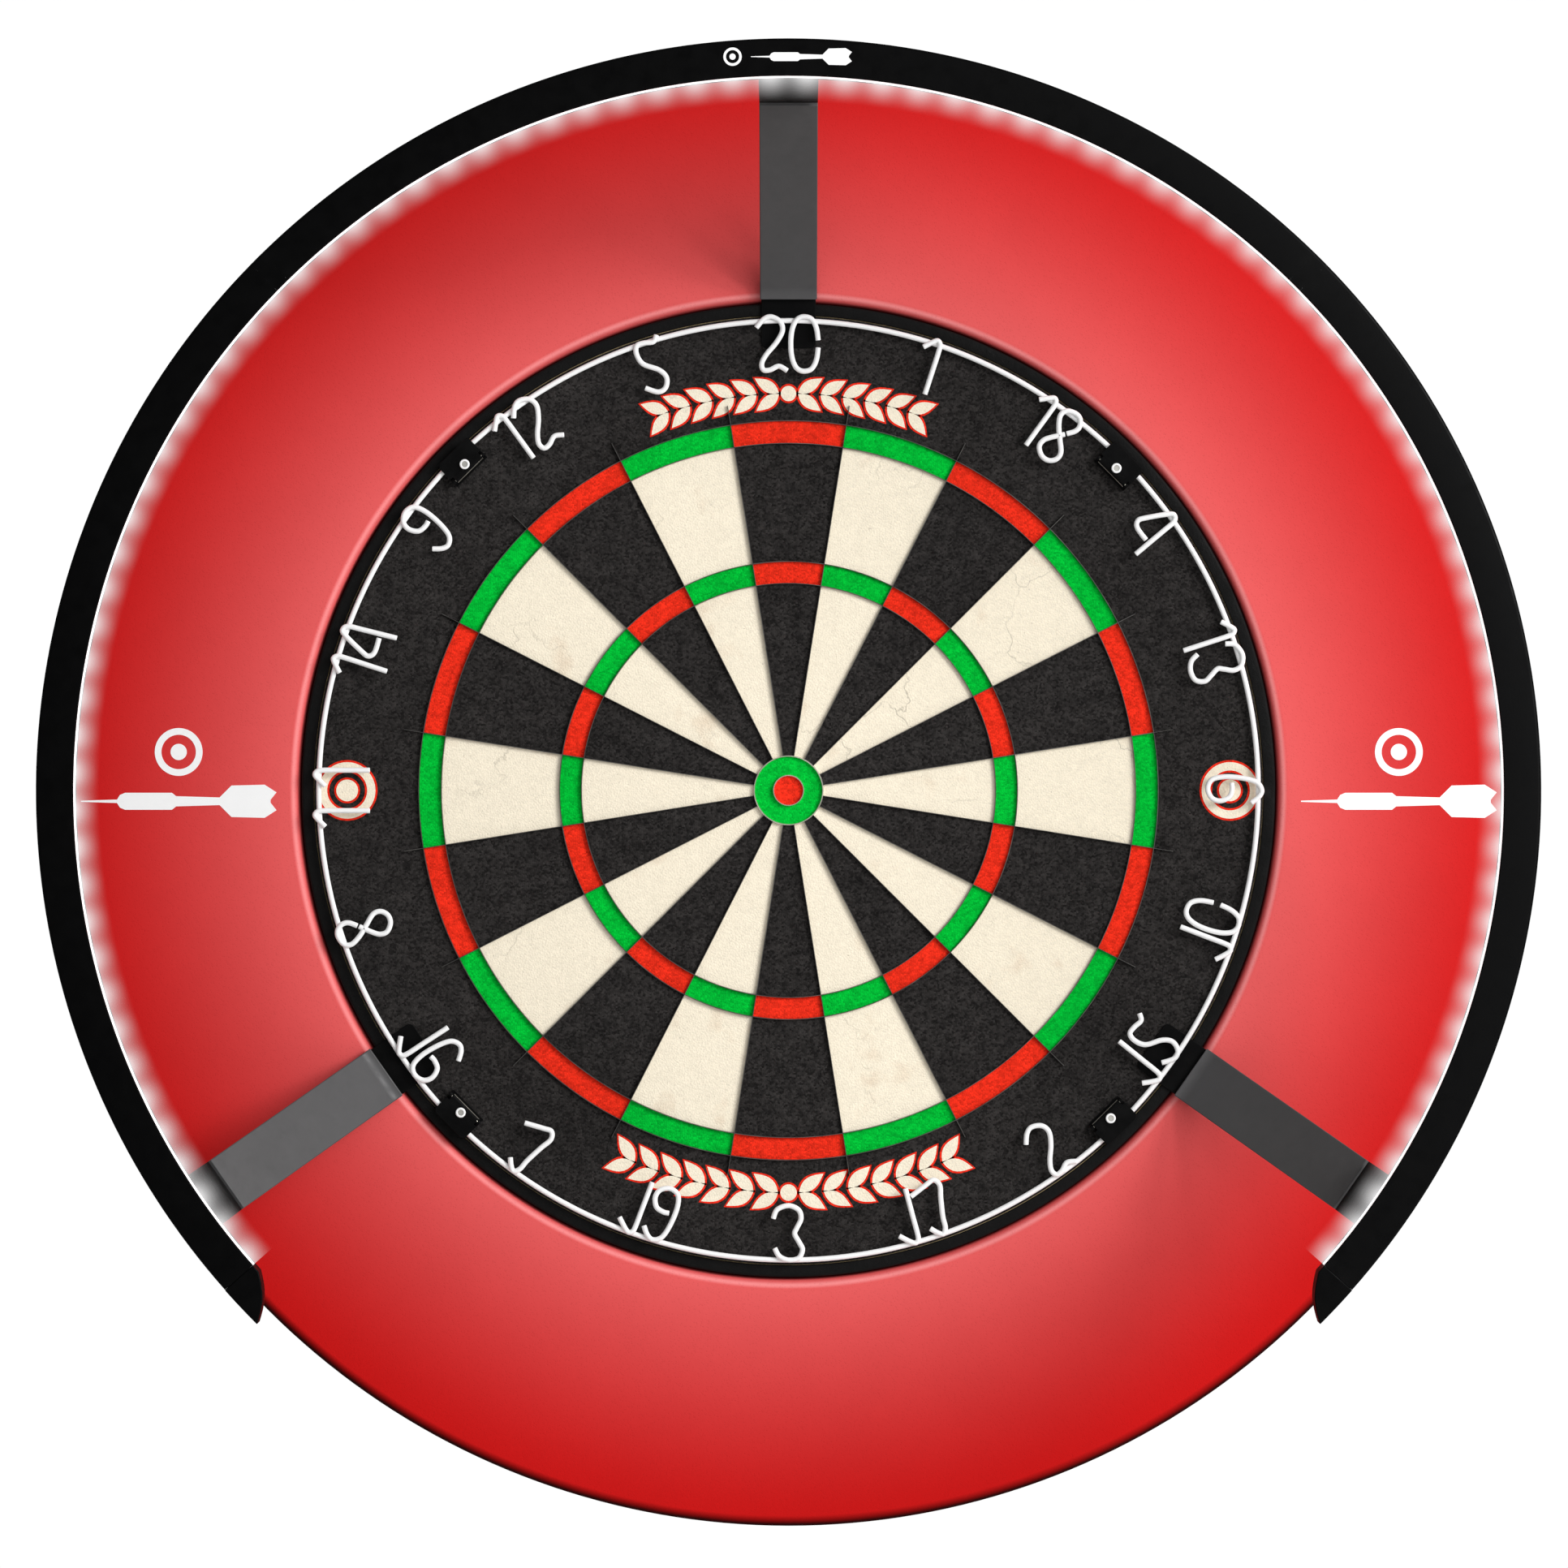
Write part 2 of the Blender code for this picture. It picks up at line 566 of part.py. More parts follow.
def make_arms():
    half_tongue, corner = TONGUE_WIDTH / 2, 2.5
    tongue_outline = [(TONGUE_END, -half_tongue), (TONGUE_END, half_tongue)]
    tongue_outline += arc((TONGUE_INNER + corner, half_tongue - corner), corner, 90, 180, 3)
    tongue_outline += arc((TONGUE_INNER + corner, -half_tongue + corner), corner, 180, 270, 3)
    strip_line = [(radius, FACE + rise) for radius, rise in STRIP_BENDS]
    leg_line = [(radius, FACE + rise) for radius, rise in LEG_BENDS]
    magnet_back = FACE + PAD_RISE + STRIP_THICKNESS / 2 + TOUCH
    magnet_front = magnet_back + MAGNET_THICKNESS
    inner, outer = KEEPER_SPAN
    keeper_outline = [(inner, -KEEPER_HALF), (outer, -KEEPER_HALF)]
    keeper_outline += [(outer, KEEPER_HALF), (inner, KEEPER_HALF)]
    half = ARM_WIDTH / 2
    for name, angle in ARM_ANGLES.items():
        tongue = prism("tongue", tongue_outline, FACE + TOUCH, FACE + TOUCH + PLATE, "depth")
        add_object(f"{name}_arm_tongue", tongue, "black_steel", angle)
        strip = bent_strip("strip", strip_line, STRIP_THICKNESS, half)
        add_object(f"{name}_arm_strip", strip, "grey_metal", angle)
        leg = bent_strip("leg", leg_line, STRIP_THICKNESS, half)
        add_object(f"{name}_arm_leg", leg, "black_plastic", angle)
        magnet = rod("magnet", MAGNET_RADIUS, magnet_back, magnet_front, (MAGNET_RADIAL, 0.0), "depth")
        add_object(f"{name}_arm_magnet", magnet, "magnet", angle)
        low, high = magnet_front + TOUCH, FACE + LIGHT_HEIGHT - TOUCH
        keeper = prism("keeper", keeper_outline, low, high, "depth")
        add_object(f"{name}_keeper_plate", keeper, "zinc", angle)


# ---- the ring light ----
LIGHT_NODES = {
    "housing": ("light_housing", "black_plastic"),
    "strip": ("led_strip", "circuit_white"),
    "diffuser": ("light_diffuser", "diffuser"),
}


def make_light():
    back, front = FACE + LIGHT_HEIGHT, FACE + LIGHT_HEIGHT + LIGHT_DEPTH
    housing = [(LIGHT_INNER, back), (LIGHT_OUTER, back), (LIGHT_OUTER, front), (LIGHT_INNER, front),
               (LIGHT_INNER, front - LIGHT_WALL), (LIGHT_OUTER - LIGHT_WALL, front - LIGHT_WALL),
               (LIGHT_OUTER - LIGHT_WALL, back + LIGHT_WALL), (LIGHT_INNER, back + LIGHT_WALL)]
    edge = LIGHT_OUTER - 2.0
    strip = [(edge - 1.0, back + LED_INSET), (edge, back + LED_INSET),
             (edge, front - LED_INSET), (edge - 1.0, front - LED_INSET)]
    low, high = back + LIGHT_WALL + FIT, front - LIGHT_WALL - FIT
    slit, floor = LIGHT_INNER + TOUCH, low + DIFFUSER_WALL
    diffuser = [(LIP_INNER, low), (LIGHT_INNER + 1.8, low), (LIGHT_INNER + 1.8, high), (slit, high),
                (slit, floor), (LIP_INNER, floor)]
    gap = 0.05                      # degrees between pieces end to end
    for piece, outline, seam in (("housing", housing, JOINER_HALF), ("strip", strip, JOINER_HALF),
                                 ("diffuser", diffuser, gap)):
        node, finish = LIGHT_NODES[piece]
        spans = {"right": (-LIGHT_END, 45 - seam), "top": (45 + seam, 135 - seam),
                 "left": (135 + seam, 180 + LIGHT_END)}
        for name, span in spans.items():
            add_object(f"{node}_{name}", turned(piece, outline, 20, span), finish)
    for name, angle in (("right", 45), ("left", 135)):
        span = (angle - JOINER_HALF + gap, angle + JOINER_HALF - gap)
        add_object(f"light_joiner_{name}", turned("joiner", housing, 1, span), "black_plastic")
    for name, side in (("right", 1), ("left", -1)):
        make_end_cap(name, side, back, front)
    make_inlet(back)


def make_end_cap(name, side, back, front):
    """The cap's outer end is nearly upright: the outer edge runs further down than the inner one."""
    start = LIGHT_END + 0.1

    def rim(radius, degrees):
        return (radius * math.cos(math.radians(degrees)), -radius * math.sin(math.radians(degrees)))

    outline = [rim(LIGHT_OUTER, start + (CAP_OUTER_END - start) * k / 3) for k in range(4)]
    outline += [CAP_BULGE, rim(LIGHT_INNER, CAP_INNER_END), rim(LIGHT_INNER, start)]
    outline = [(side * x, z) for x, z in outline]
    add_object(f"light_end_cap_{name}", prism("cap", outline, back, front, "depth"), "black_plastic")


def make_inlet(back):
    """A round power socket standing on the back of the housing, open towards the wall."""
    turn = math.radians(INLET_ANGLE)
    base, floor = -FIT, -2.0
    outline = [(INLET_BORE, -INLET_DEPTH), (INLET_OUTER, -INLET_DEPTH), (INLET_OUTER, base), (0.0, base),
               (0.0, floor), (INLET_BORE, floor)]
    spot = Vector((MAGNET_RADIAL * math.cos(turn), -back, MAGNET_RADIAL * math.sin(turn))) * MM
    add_object("power_inlet", turned("inlet", outline, 16), "black_plastic", 0.0, spot)


# ---- hanging hardware ----
def make_wall_bracket():
    outer = [(-BRACKET_FLANGE, 0.0), (BRACKET_FLANGE, 0.0), (BRACKET_FLANGE, SHEET), (BRACKET_HALF, SHEET),
             (BRACKET_HALF, BRACKET_DEPTH), (-BRACKET_HALF, BRACKET_DEPTH), (-BRACKET_HALF, SHEET),
             (-BRACKET_FLANGE, SHEET)]
    body = prism("body", outer, BRACKET_LOW, BRACKET_HIGH)
    inner = BRACKET_HALF - SHEET
    space = [(-inner, SHEET), (inner, SHEET), (inner, BRACKET_DEPTH - SHEET), (-inner, BRACKET_DEPTH - SHEET)]
    tunnel = prism("tunnel", space, BRACKET_LOW - 1, BRACKET_HIGH + 1)
    half = HANGER_SHANK + FIT
    slot_outline = [(half, BRACKET_HIGH + 1), (-half, BRACKET_HIGH + 1)] + arc((0, 0), half, 180, 360, 8)
    slot = prism("slot", slot_outline, BRACKET_DEPTH - SHEET - 1, BRACKET_DEPTH + 1, "depth")
    hole = WALL_SCREW_RADIUS + 0.5
    holes = [rod("hole", hole, -1, SHEET + 1, (x, 0.0), "depth") for x in (-WALL_SCREW_X, WALL_SCREW_X)]
    add_object("wall_bracket", boolean(body, [tunnel, slot] + holes, "DIFFERENCE"), "zinc", smooth=False)
    for name, x in (("left", -WALL_SCREW_X), ("right", WALL_SCREW_X)):
        shank, head = WALL_SCREW_RADIUS, SHEET + TOUCH
        outline = [(0.0, -WALL_SCREW_LENGTH), (shank, -WALL_SCREW_LENGTH + 4.0), (shank, head),
                   (WALL_SCREW_HEAD, head), (WALL_SCREW_HEAD, head + 1.3), (2.4, head + 2.4),
                   (0.0, head + 2.6)]
        add_object(f"wall_screw_{name}", turned("screw", outline, 12), "zinc", 0.0, (x * MM, 0.0, 0.0))


def make_hanger():
    head, back = SHEET + 0.4, BRACKET_DEPTH - SHEET - 0.5
    tip = WALL_GAP + BACKING_THICKNESS
    outline = [(0.0, head), (HANGER_HEAD - 1.4, head), (HANGER_HEAD, head + 0.8),
               (HANGER_HEAD, back), (HANGER_SHANK, back), (HANGER_SHANK, tip), (0.0, tip)]
    add_object("hanging_screw", turned("hanger", outline, 16), "zinc")
    top = WALL_GAP + BAND_WALL + 0.1
    foot = [(0.0, 0.4), (FOOT_RADIUS - 1.0, 0.4), (FOOT_RADIUS, 1.4), (FOOT_RADIUS, top), (0.0, top)]
    for number, angle in enumerate((90, 210, 330), 1):
        turn = math.radians(angle)
        spot = point(FOOT_RADIAL * math.cos(turn), 0.0, FOOT_RADIAL * math.sin(turn))
        add_object(f"spacer_foot_{number}", turned("foot", foot, 16), "rubber", 0.0, spot)


def main():
    clear_scene()
    make_sisal()
    make_backing()
    make_rim_band()
    make_web()
    make_number_ring()
    make_clips()
    make_surround()
    make_arms()
    make_light()
    make_wall_bracket()
    make_hanger()


main()
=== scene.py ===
# %% [markdown]
# # A dartboard with a foam surround and a magnetic ring light
# This notebook dresses a finished working model. The frame that is loaded below holds every solid at its
# true size, in metres, with +Z up, and the board faces -Y. We never move those solids. Each visible piece
# is modelled again with finer shape and rides on the frame's body, so it follows every joint.

# %% Load the frame
import math

import bmesh
import bpy
from mathutils import Matrix, Vector


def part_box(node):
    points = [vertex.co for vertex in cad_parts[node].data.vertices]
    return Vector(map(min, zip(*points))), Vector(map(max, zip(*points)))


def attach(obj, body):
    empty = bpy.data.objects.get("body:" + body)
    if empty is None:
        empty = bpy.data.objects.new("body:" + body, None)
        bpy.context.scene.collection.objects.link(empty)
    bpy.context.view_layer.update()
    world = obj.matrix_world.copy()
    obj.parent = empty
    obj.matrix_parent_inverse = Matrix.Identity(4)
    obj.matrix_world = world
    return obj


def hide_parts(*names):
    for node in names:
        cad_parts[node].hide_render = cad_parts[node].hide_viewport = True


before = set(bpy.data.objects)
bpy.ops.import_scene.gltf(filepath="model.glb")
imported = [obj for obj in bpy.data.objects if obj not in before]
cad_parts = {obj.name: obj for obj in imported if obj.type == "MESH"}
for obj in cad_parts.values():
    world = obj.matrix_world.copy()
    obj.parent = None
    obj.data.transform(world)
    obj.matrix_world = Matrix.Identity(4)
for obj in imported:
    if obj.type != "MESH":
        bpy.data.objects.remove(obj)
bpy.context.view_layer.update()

# %% [markdown]
# ## Measures
# People who make dartboards think in millimetres, and in the distance from the bull. So places here are a
# radius, an angle in degrees (0 to the right, 90 at the top) and a depth forward of the wall. The driving
# sizes are read from the frame, so a change there comes through to the looks.

# %% Places in the maker's own terms
MM = 0.001


def place(radius, degrees, depth):
    """A point at a radius, an angle round the bull and a depth forward of the wall, in millimetres."""
    turn = math.radians(degrees)
    return Vector((radius * math.cos(turn), -depth, radius * math.sin(turn))) * MM


def front_of(node):
    """Depth of a solid's front, in millimetres from the wall."""
    return -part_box(node)[0].y / MM


def back_of(node):
    """Depth of a solid's back, in millimetres from the wall."""
    return -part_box(node)[1].y / MM


FACE = front_of("sisal_disc")
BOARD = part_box("rim_band")[1].x / MM
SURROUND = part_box("foam_surround")[1].x / MM
LIGHT_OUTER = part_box("light_housing_top")[1].z / MM
LIGHT_INNER = LIGHT_OUTER - 16.4
LIGHT_BACK, LIGHT_FRONT = back_of("light_housing_top"), front_of("light_housing_top")
print(f"board radius {BOARD:.1f} mm, face {FACE:.1f} mm off the wall")
print(f"surround radius {SURROUND:.1f} mm, light radius {LIGHT_OUTER:.1f} mm")

# %% [markdown]
# ## Making meshes
# Nearly everything on a dartboard is either turned round its axis, cut from a flat outline, or bent from
# wire. Three small builders cover those. Each works in a bmesh, then one function turns the result into an
# object, gives it its finish and fixes it to the body it belongs to.

# %% A piece that rides on its body
def put(name, work, body, finishes, replaces=(), sharp=35, bevel=0.0, steps=2):
    """Turn a bmesh into a piece with its finishes, fixed to a body."""
    bmesh.ops.recalc_face_normals(work, faces=work.faces)
    mesh = bpy.data.meshes.new(name)
    work.to_mesh(mesh)
    work.free()
    mesh.shade_smooth()
    mesh.set_sharp_from_angle(angle=math.radians(sharp))
    piece = bpy.data.objects.new(name, mesh)
    bpy.context.scene.collection.objects.link(piece)
    for finish in finishes if isinstance(finishes, (list, tuple)) else [finishes]:
        mesh.materials.append(finish)
    if bevel:
        rounding = piece.modifiers.new("rounding", "BEVEL")
        rounding.width = bevel * MM
        rounding.segments = steps
        rounding.limit_method = "ANGLE"
        rounding.angle_limit = math.radians(30)
        rounding.use_clamp_overlap = True
    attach(piece, body)
    if replaces:
        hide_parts(*replaces)
    return piece


# %% [markdown]
# A turned piece is an outline of (radius, depth) points swept round the axis. A full turn closes on itself;
# a part turn, such as a length of the ring light, gets a face on each end.

# %% Turned pieces
def arc(centre, radius, start, end, steps):
    """Points along an arc in an outline, angles in degrees."""
    points = []
    for step in range(steps + 1):
        turn = math.radians(start + (end - start) * step / steps)
        points.append((centre[0] + radius * math.cos(turn), centre[1] + radius * math.sin(turn)))
    return points


def turned(outline, steps, span=None, work=None, centre=None):
    """Sweep a closed outline round the board's axis, or round an axis through a centre point."""
    work = work or bmesh.new()
    whole = span is None
    start, end = (0.0, 360.0) if whole else span
    columns = steps if whole else steps + 1
    shift = centre or Vector((0.0, 0.0, 0.0))
    hubs = {}
    rings = []
    for index in range(columns):
        ring = []
        for radius, depth in outline:
            if radius == 0.0:
                if depth not in hubs:
                    hubs[depth] = work.verts.new(place(0.0, 0.0, depth) + shift)
                ring.append(hubs[depth])
            else:
                degrees = start + (end - start) * index / steps
                ring.append(work.verts.new(place(radius, degrees, depth) + shift))
        rings.append(ring)
    count = len(outline)
    for index in range(columns if whole else columns - 1):
        one, two = rings[index], rings[(index + 1) % columns]
        for k in range(count):
            corners = []
            for corner in (one[k], one[(k + 1) % count], two[(k + 1) % count], two[k]):
                if corner not in corners:
                    corners.append(corner)
            if len(corners) > 2:
                work.faces.new(corners)
    if not whole:
        work.faces.new(rings[0])
        work.faces.new(rings[-1])
    return work


# %% [markdown]
# A flat piece is an outline pushed through its thickness. It is drawn as if it lay straight out to the
# right of the bull, and then turned to its own angle. An outline can be drawn from the front (radius and
# sideways distance) or from the side (radius and depth).

# %% Flat and bent pieces
def turned_to(degrees):
    """The rotation that takes the rightward direction to an angle round the bull."""
    return Matrix.Rotation(-math.radians(degrees), 4, "Y")


def slab(outline, low, high, degrees=0.0, seen_from="front", work=None, shift=None):
    """Push an outline through from low to high, at an angle round the bull."""
    work = work or bmesh.new()
    matrix = turned_to(degrees)
    if shift is not None:
        matrix = Matrix.Translation(shift) @ matrix
    ends = []
    for level in (low, high):
        if seen_from == "front":
            spots = [Vector((a, -level, b)) for a, b in outline]
        else:
            spots = [Vector((a, -b, level)) for a, b in outline]
        ends.append([work.verts.new(matrix @ (spot * MM)) for spot in spots])
    work.faces.new(ends[0])
    work.faces.new(ends[1])
    for k in range(len(outline)):
        after = (k + 1) % len(outline)
        work.faces.new((ends[0][k], ends[0][after], ends[1][after], ends[1][k]))
    return work


# %% [markdown]
# Wire is a round section carried along a path. The path comes from a few listed points with a smooth
# curve drawn through them, the way wire takes a bend. The cut ends are rounded, as tumbled wire is.

# %% Wire
def smooth_path(points, pieces):
    """A Catmull-Rom curve through the points, with a number of pieces between each pair."""
    padded = [points[0]] + list(points) + [points[-1]]
    curve = []
    for k in range(1, len(padded) - 2):
        p0, p1, p2, p3 = (Vector(p) for p in padded[k - 1:k + 3])
        for piece in range(pieces):
            t = piece / pieces
            curve.append(0.5 * ((2 * p1) + (p2 - p0) * t + (2 * p0 - 5 * p1 + 4 * p2 - p3) * t ** 2
                                + (3 * p1 - p0 - 3 * p2 + p3) * t ** 3))
    curve.append(Vector(points[-1]))
    return curve


def wire(work, path, radius, sides, closed=False):
    """Carry a round section of a radius in millimetres along a path in a plane of constant depth."""
    stations = [(spot, 1.0) for spot in path]
    if not closed:
        for end, inner in ((0, 1), (-1, -2)):
            out = (path[end] - path[inner]).normalized()
            caps = [(path[end] + out * reach * MM, scale) for reach, scale in ((0.12, 0.97), (0.25, 0.82))]
            stations = caps[::-1] + stations if end == 0 else stations + caps
    count = len(stations)
    loops = []
    for k, (spot, scale) in enumerate(stations):
        before = stations[k - 1][0] if closed or k > 0 else spot
        after = stations[(k + 1) % count][0] if closed or k < count - 1 else spot
        along = (after - before).normalized()
        forward = Vector((0.0, 1.0, 0.0))
        side = along.cross(forward).normalized()
        loop = []
        for corner in range(sides):
            turn = 2 * math.pi * corner / sides
            outward = side * math.cos(turn) + forward * math.sin(turn)
            loop.append(work.verts.new(spot + outward * radius * scale * MM))
        loops.append(loop)
    for k in range(count if closed else count - 1):
        one, two = loops[k], loops[(k + 1) % count]
        for corner in range(sides):
            after = (corner + 1) % sides
            work.faces.new((one[corner], one[after], two[after], two[corner]))
    if not closed:
        work.faces.new(loops[0])
        work.faces.new(loops[-1])


# %% [markdown]
# ## Shared surface effects
# Real surfaces are never one flat colour. Five effects turn up again and again here: a slow drift of tone,
# a fine grain, brightened edges where hands and cartons rub, dust that settles on what faces up, and the
# packed fibre ends of sisal. Each is a node group with named inputs, built once and placed where needed.

# %% Node helpers
def add(tree, kind, **settings):
    """Add a node, setting its properties."""
    made = tree.nodes.new(kind)
    for key, value in settings.items():
        setattr(made, key, value)
    return made


def feed(tree, target, source):
    """Give an input a value, or link it from an output."""
    if hasattr(source, "is_output"):
        tree.links.new(source, target)
    else:
        target.default_value = source


def maths(tree, operation, *inputs, clamp=False):
    """A maths node on numbers or outputs. Returns its output."""
    made = add(tree, "ShaderNodeMath", operation=operation, use_clamp=clamp)
    for target, source in zip(made.inputs, inputs):
        feed(tree, target, source)
    return made.outputs[0]


def spread(tree, value, low, high, to_low, to_high, smooth=False):
    """Map a value from one span to another, held at the ends."""
    made = add(tree, "ShaderNodeMapRange", clamp=True)
    made.interpolation_type = "SMOOTHSTEP" if smooth else "LINEAR"
    for target, source in zip(made.inputs, (value, low, high, to_low, to_high)):
        feed(tree, target, source)
    return made.outputs[0]


def mix(tree, factor, one, two, blend="MIX"):
    """Mix two colours. Returns the colour."""
    made = add(tree, "ShaderNodeMix", data_type="RGBA", blend_type=blend, clamp_factor=True)
    feed(tree, made.inputs[0], factor)
    feed(tree, made.inputs[6], one)
    feed(tree, made.inputs[7], two)
    return made.outputs[2]


def noise(tree, vector, scale, detail=3.0, roughness=0.55):
    """A noise texture's value."""
    made = add(tree, "ShaderNodeTexNoise")
    feed(tree, made.inputs["Vector"], vector)
    feed(tree, made.inputs["Scale"], scale)
    made.inputs["Detail"].default_value = detail
    made.inputs["Roughness"].default_value = roughness
    return made.outputs[0]


def group(name, inputs, outputs):
    """An empty node group with named sockets. Returns the tree, its inputs and its output node."""
    tree = bpy.data.node_groups.new(name, "ShaderNodeTree")
    for label, kind, value in inputs:
        socket = tree.interface.new_socket(label, in_out="INPUT", socket_type=kind)
        socket.default_value = value
    for label, kind in outputs:
        tree.interface.new_socket(label, in_out="OUTPUT", socket_type=kind)
    return tree, add(tree, "NodeGroupInput").outputs, add(tree, "NodeGroupOutput").inputs


def use(tree, shared, **values):
    """Place a node group in a material, with its own values. Returns its outputs."""
    made = add(tree, "ShaderNodeGroup", node_tree=shared)
    for label, value in values.items():
        feed(tree, made.inputs[label], value)
    return made.outputs


FLOAT, COLOUR = "NodeSocketFloat", "NodeSocketColor"

# %% [markdown]
# **Tone drift** multiplies a colour by soft noise at two sizes, so a large face is a little lighter here
# and darker there, as paint, foam and fibre are.

# %% Tone drift
def build_tone():
    tree, given, out = group("tone_drift", [("Color", COLOUR, (0.5, 0.5, 0.5, 1)), ("Scale", FLOAT, 20.0),
                                            ("Amount", FLOAT, 0.1)], [("Color", COLOUR)])
    spot = add(tree, "ShaderNodeTexCoord").outputs["Object"]
    broad = noise(tree, spot, given["Scale"], 2.0)
    fine = noise(tree, spot, maths(tree, "MULTIPLY", given["Scale"], 6.0), 3.0)
    both = maths(tree, "ADD", maths(tree, "MULTIPLY", broad, 0.65), maths(tree, "MULTIPLY", fine, 0.35))
    swing = maths(tree, "MULTIPLY", maths(tree, "SUBTRACT", both, 0.5), 4.0)
    factor = maths(tree, "ADD", 1.0, maths(tree, "MULTIPLY", swing, given["Amount"]))
    scaled = add(tree, "ShaderNodeVectorMath", operation="SCALE")
    feed(tree, scaled.inputs[0], given["Color"])
    feed(tree, scaled.inputs["Scale"], factor)
    feed(tree, out["Color"], scaled.outputs[0])
    return tree


TONE = build_tone()
print("built group", TONE.name)

# %% [markdown]
# **Grain** is the height of a moulded or coated skin: fine noise with a few larger orange-peel waves. It
# feeds a Bump node, and a little of it also changes the roughness, so highlights break up.

# %% Grain
def build_grain():
    tree, given, out = group("grain", [("Scale", FLOAT, 900.0)], [("Height", FLOAT), ("Patch", FLOAT)])
    spot = add(tree, "ShaderNodeTexCoord").outputs["Object"]
    fine = noise(tree, spot, given["Scale"], 4.0, 0.65)
    broad = noise(tree, spot, maths(tree, "MULTIPLY", given["Scale"], 0.12), 2.0)
    feed(tree, out["Height"], maths(tree, "ADD", fine, maths(tree, "MULTIPLY", broad, 0.6)))
    feed(tree, out["Patch"], broad)
    return tree


GRAIN = build_grain()
print("built group", GRAIN.name)

# %% [markdown]
# **Edge wear** marks corners that stand out. Pointiness tells how sharply the surface turns, and noise
# breaks the line up, because a real edge is rubbed in places and untouched in others.

# %% Edge wear
def build_wear():
    tree, given, out = group("edge_wear", [("Amount", FLOAT, 0.5), ("Scale", FLOAT, 120.0)], [("Mask", FLOAT)])
    spot = add(tree, "ShaderNodeTexCoord").outputs["Object"]
    turn = add(tree, "ShaderNodeNewGeometry").outputs["Pointiness"]
    edge = spread(tree, turn, 0.52, 0.62, 0.0, 1.0, smooth=True)
    broken = spread(tree, noise(tree, spot, given["Scale"], 4.0), 0.42, 0.62, 0.15, 1.0)
    worn = maths(tree, "MULTIPLY", edge, broken)
    feed(tree, out["Mask"], maths(tree, "MULTIPLY", worn, given["Amount"], clamp=True))
    return tree


WEAR = build_wear()
print("built group", WEAR.name)

# %% [markdown]
# **Dust** lies on what faces up. The surface normal gives the slope, and noise gathers the dust in patches.

# %% Dust
def build_dust():
    tree, given, out = group("dust", [("Amount", FLOAT, 0.2), ("Scale", FLOAT, 60.0)], [("Mask", FLOAT)])
    spot = add(tree, "ShaderNodeTexCoord").outputs["Object"]
    slope = add(tree, "ShaderNodeSeparateXYZ")
    feed(tree, slope.inputs[0], add(tree, "ShaderNodeNewGeometry").outputs["Normal"])
    up = spread(tree, slope.outputs["Z"], 0.25, 0.95, 0.0, 1.0, smooth=True)
    patchy = spread(tree, noise(tree, spot, given["Scale"], 5.0), 0.35, 0.7, 0.3, 1.0)
    settled = maths(tree, "MULTIPLY", up, patchy)
    feed(tree, out["Mask"], maths(tree, "MULTIPLY", settled, given["Amount"], clamp=True))
    return tree


DUST = build_dust()
print("built group", DUST.name)

# %% [markdown]
# **Fibre ends** are what sisal shows from the front: the board is a bale of fibres cut across, so the face
# is a carpet of tiny round tips, in tufts a few millimetres wide. Cells give the tips, and noise the tufts.

# %% Fibre ends
def build_fibre():
    tree, given, out = group("fibre_ends", [("Scale", FLOAT, 1500.0)],
                             [("Height", FLOAT), ("Tip", FLOAT), ("Tuft", FLOAT)])
    spot = add(tree, "ShaderNodeTexCoord").outputs["Object"]
    cells = add(tree, "ShaderNodeTexVoronoi", feature="F1")
    feed(tree, cells.inputs["Vector"], spot)
    feed(tree, cells.inputs["Scale"], given["Scale"])
    tip = spread(tree, cells.outputs["Distance"], 0.1, 0.75, 1.0, 0.0)
    colour = add(tree, "ShaderNodeSeparateColor")
    feed(tree, colour.inputs[0], cells.outputs["Color"])
    tuft = noise(tree, spot, maths(tree, "MULTIPLY", given["Scale"], 0.12), 4.0, 0.6)
    height = maths(tree, "ADD", maths(tree, "MULTIPLY", tip, 0.5), maths(tree, "MULTIPLY", tuft, 0.9))
    feed(tree, out["Height"], height)
    feed(tree, out["Tip"], colour.outputs[0])
    feed(tree, out["Tuft"], tuft)
    return tree


FIBRE = build_fibre()
print("built group", FIBRE.name)

# %% [markdown]
# ## Finishes
# Painted steel, moulded plastic, bright wire and the rest share one recipe: a base colour with tone drift,
# lighter where edges are rubbed, greyer where dust lies, with grain in the bump and in the roughness. The
# values are what makes each of them different.

# %% The shared recipe
def begin(name, roughness, metallic=0.0):
    """A new material with a Principled shader. Returns the material, its tree and the shader."""
    made = bpy.data.materials.new(name)
    made.use_nodes = True
    shader = made.node_tree.nodes["Principled BSDF"]
    shader.inputs["Roughness"].default_value = roughness
    shader.inputs["Metallic"].default_value = metallic
    return made, made.node_tree, shader


def bump(tree, shader, height, distance, strength=1.0):
    """Feed a height into the shader's normal, with its depth in millimetres."""
    made = add(tree, "ShaderNodeBump")
    made.inputs["Strength"].default_value = strength
    made.inputs["Distance"].default_value = distance * MM
    feed(tree, made.inputs["Height"], height)
    feed(tree, shader.inputs["Normal"], made.outputs[0])


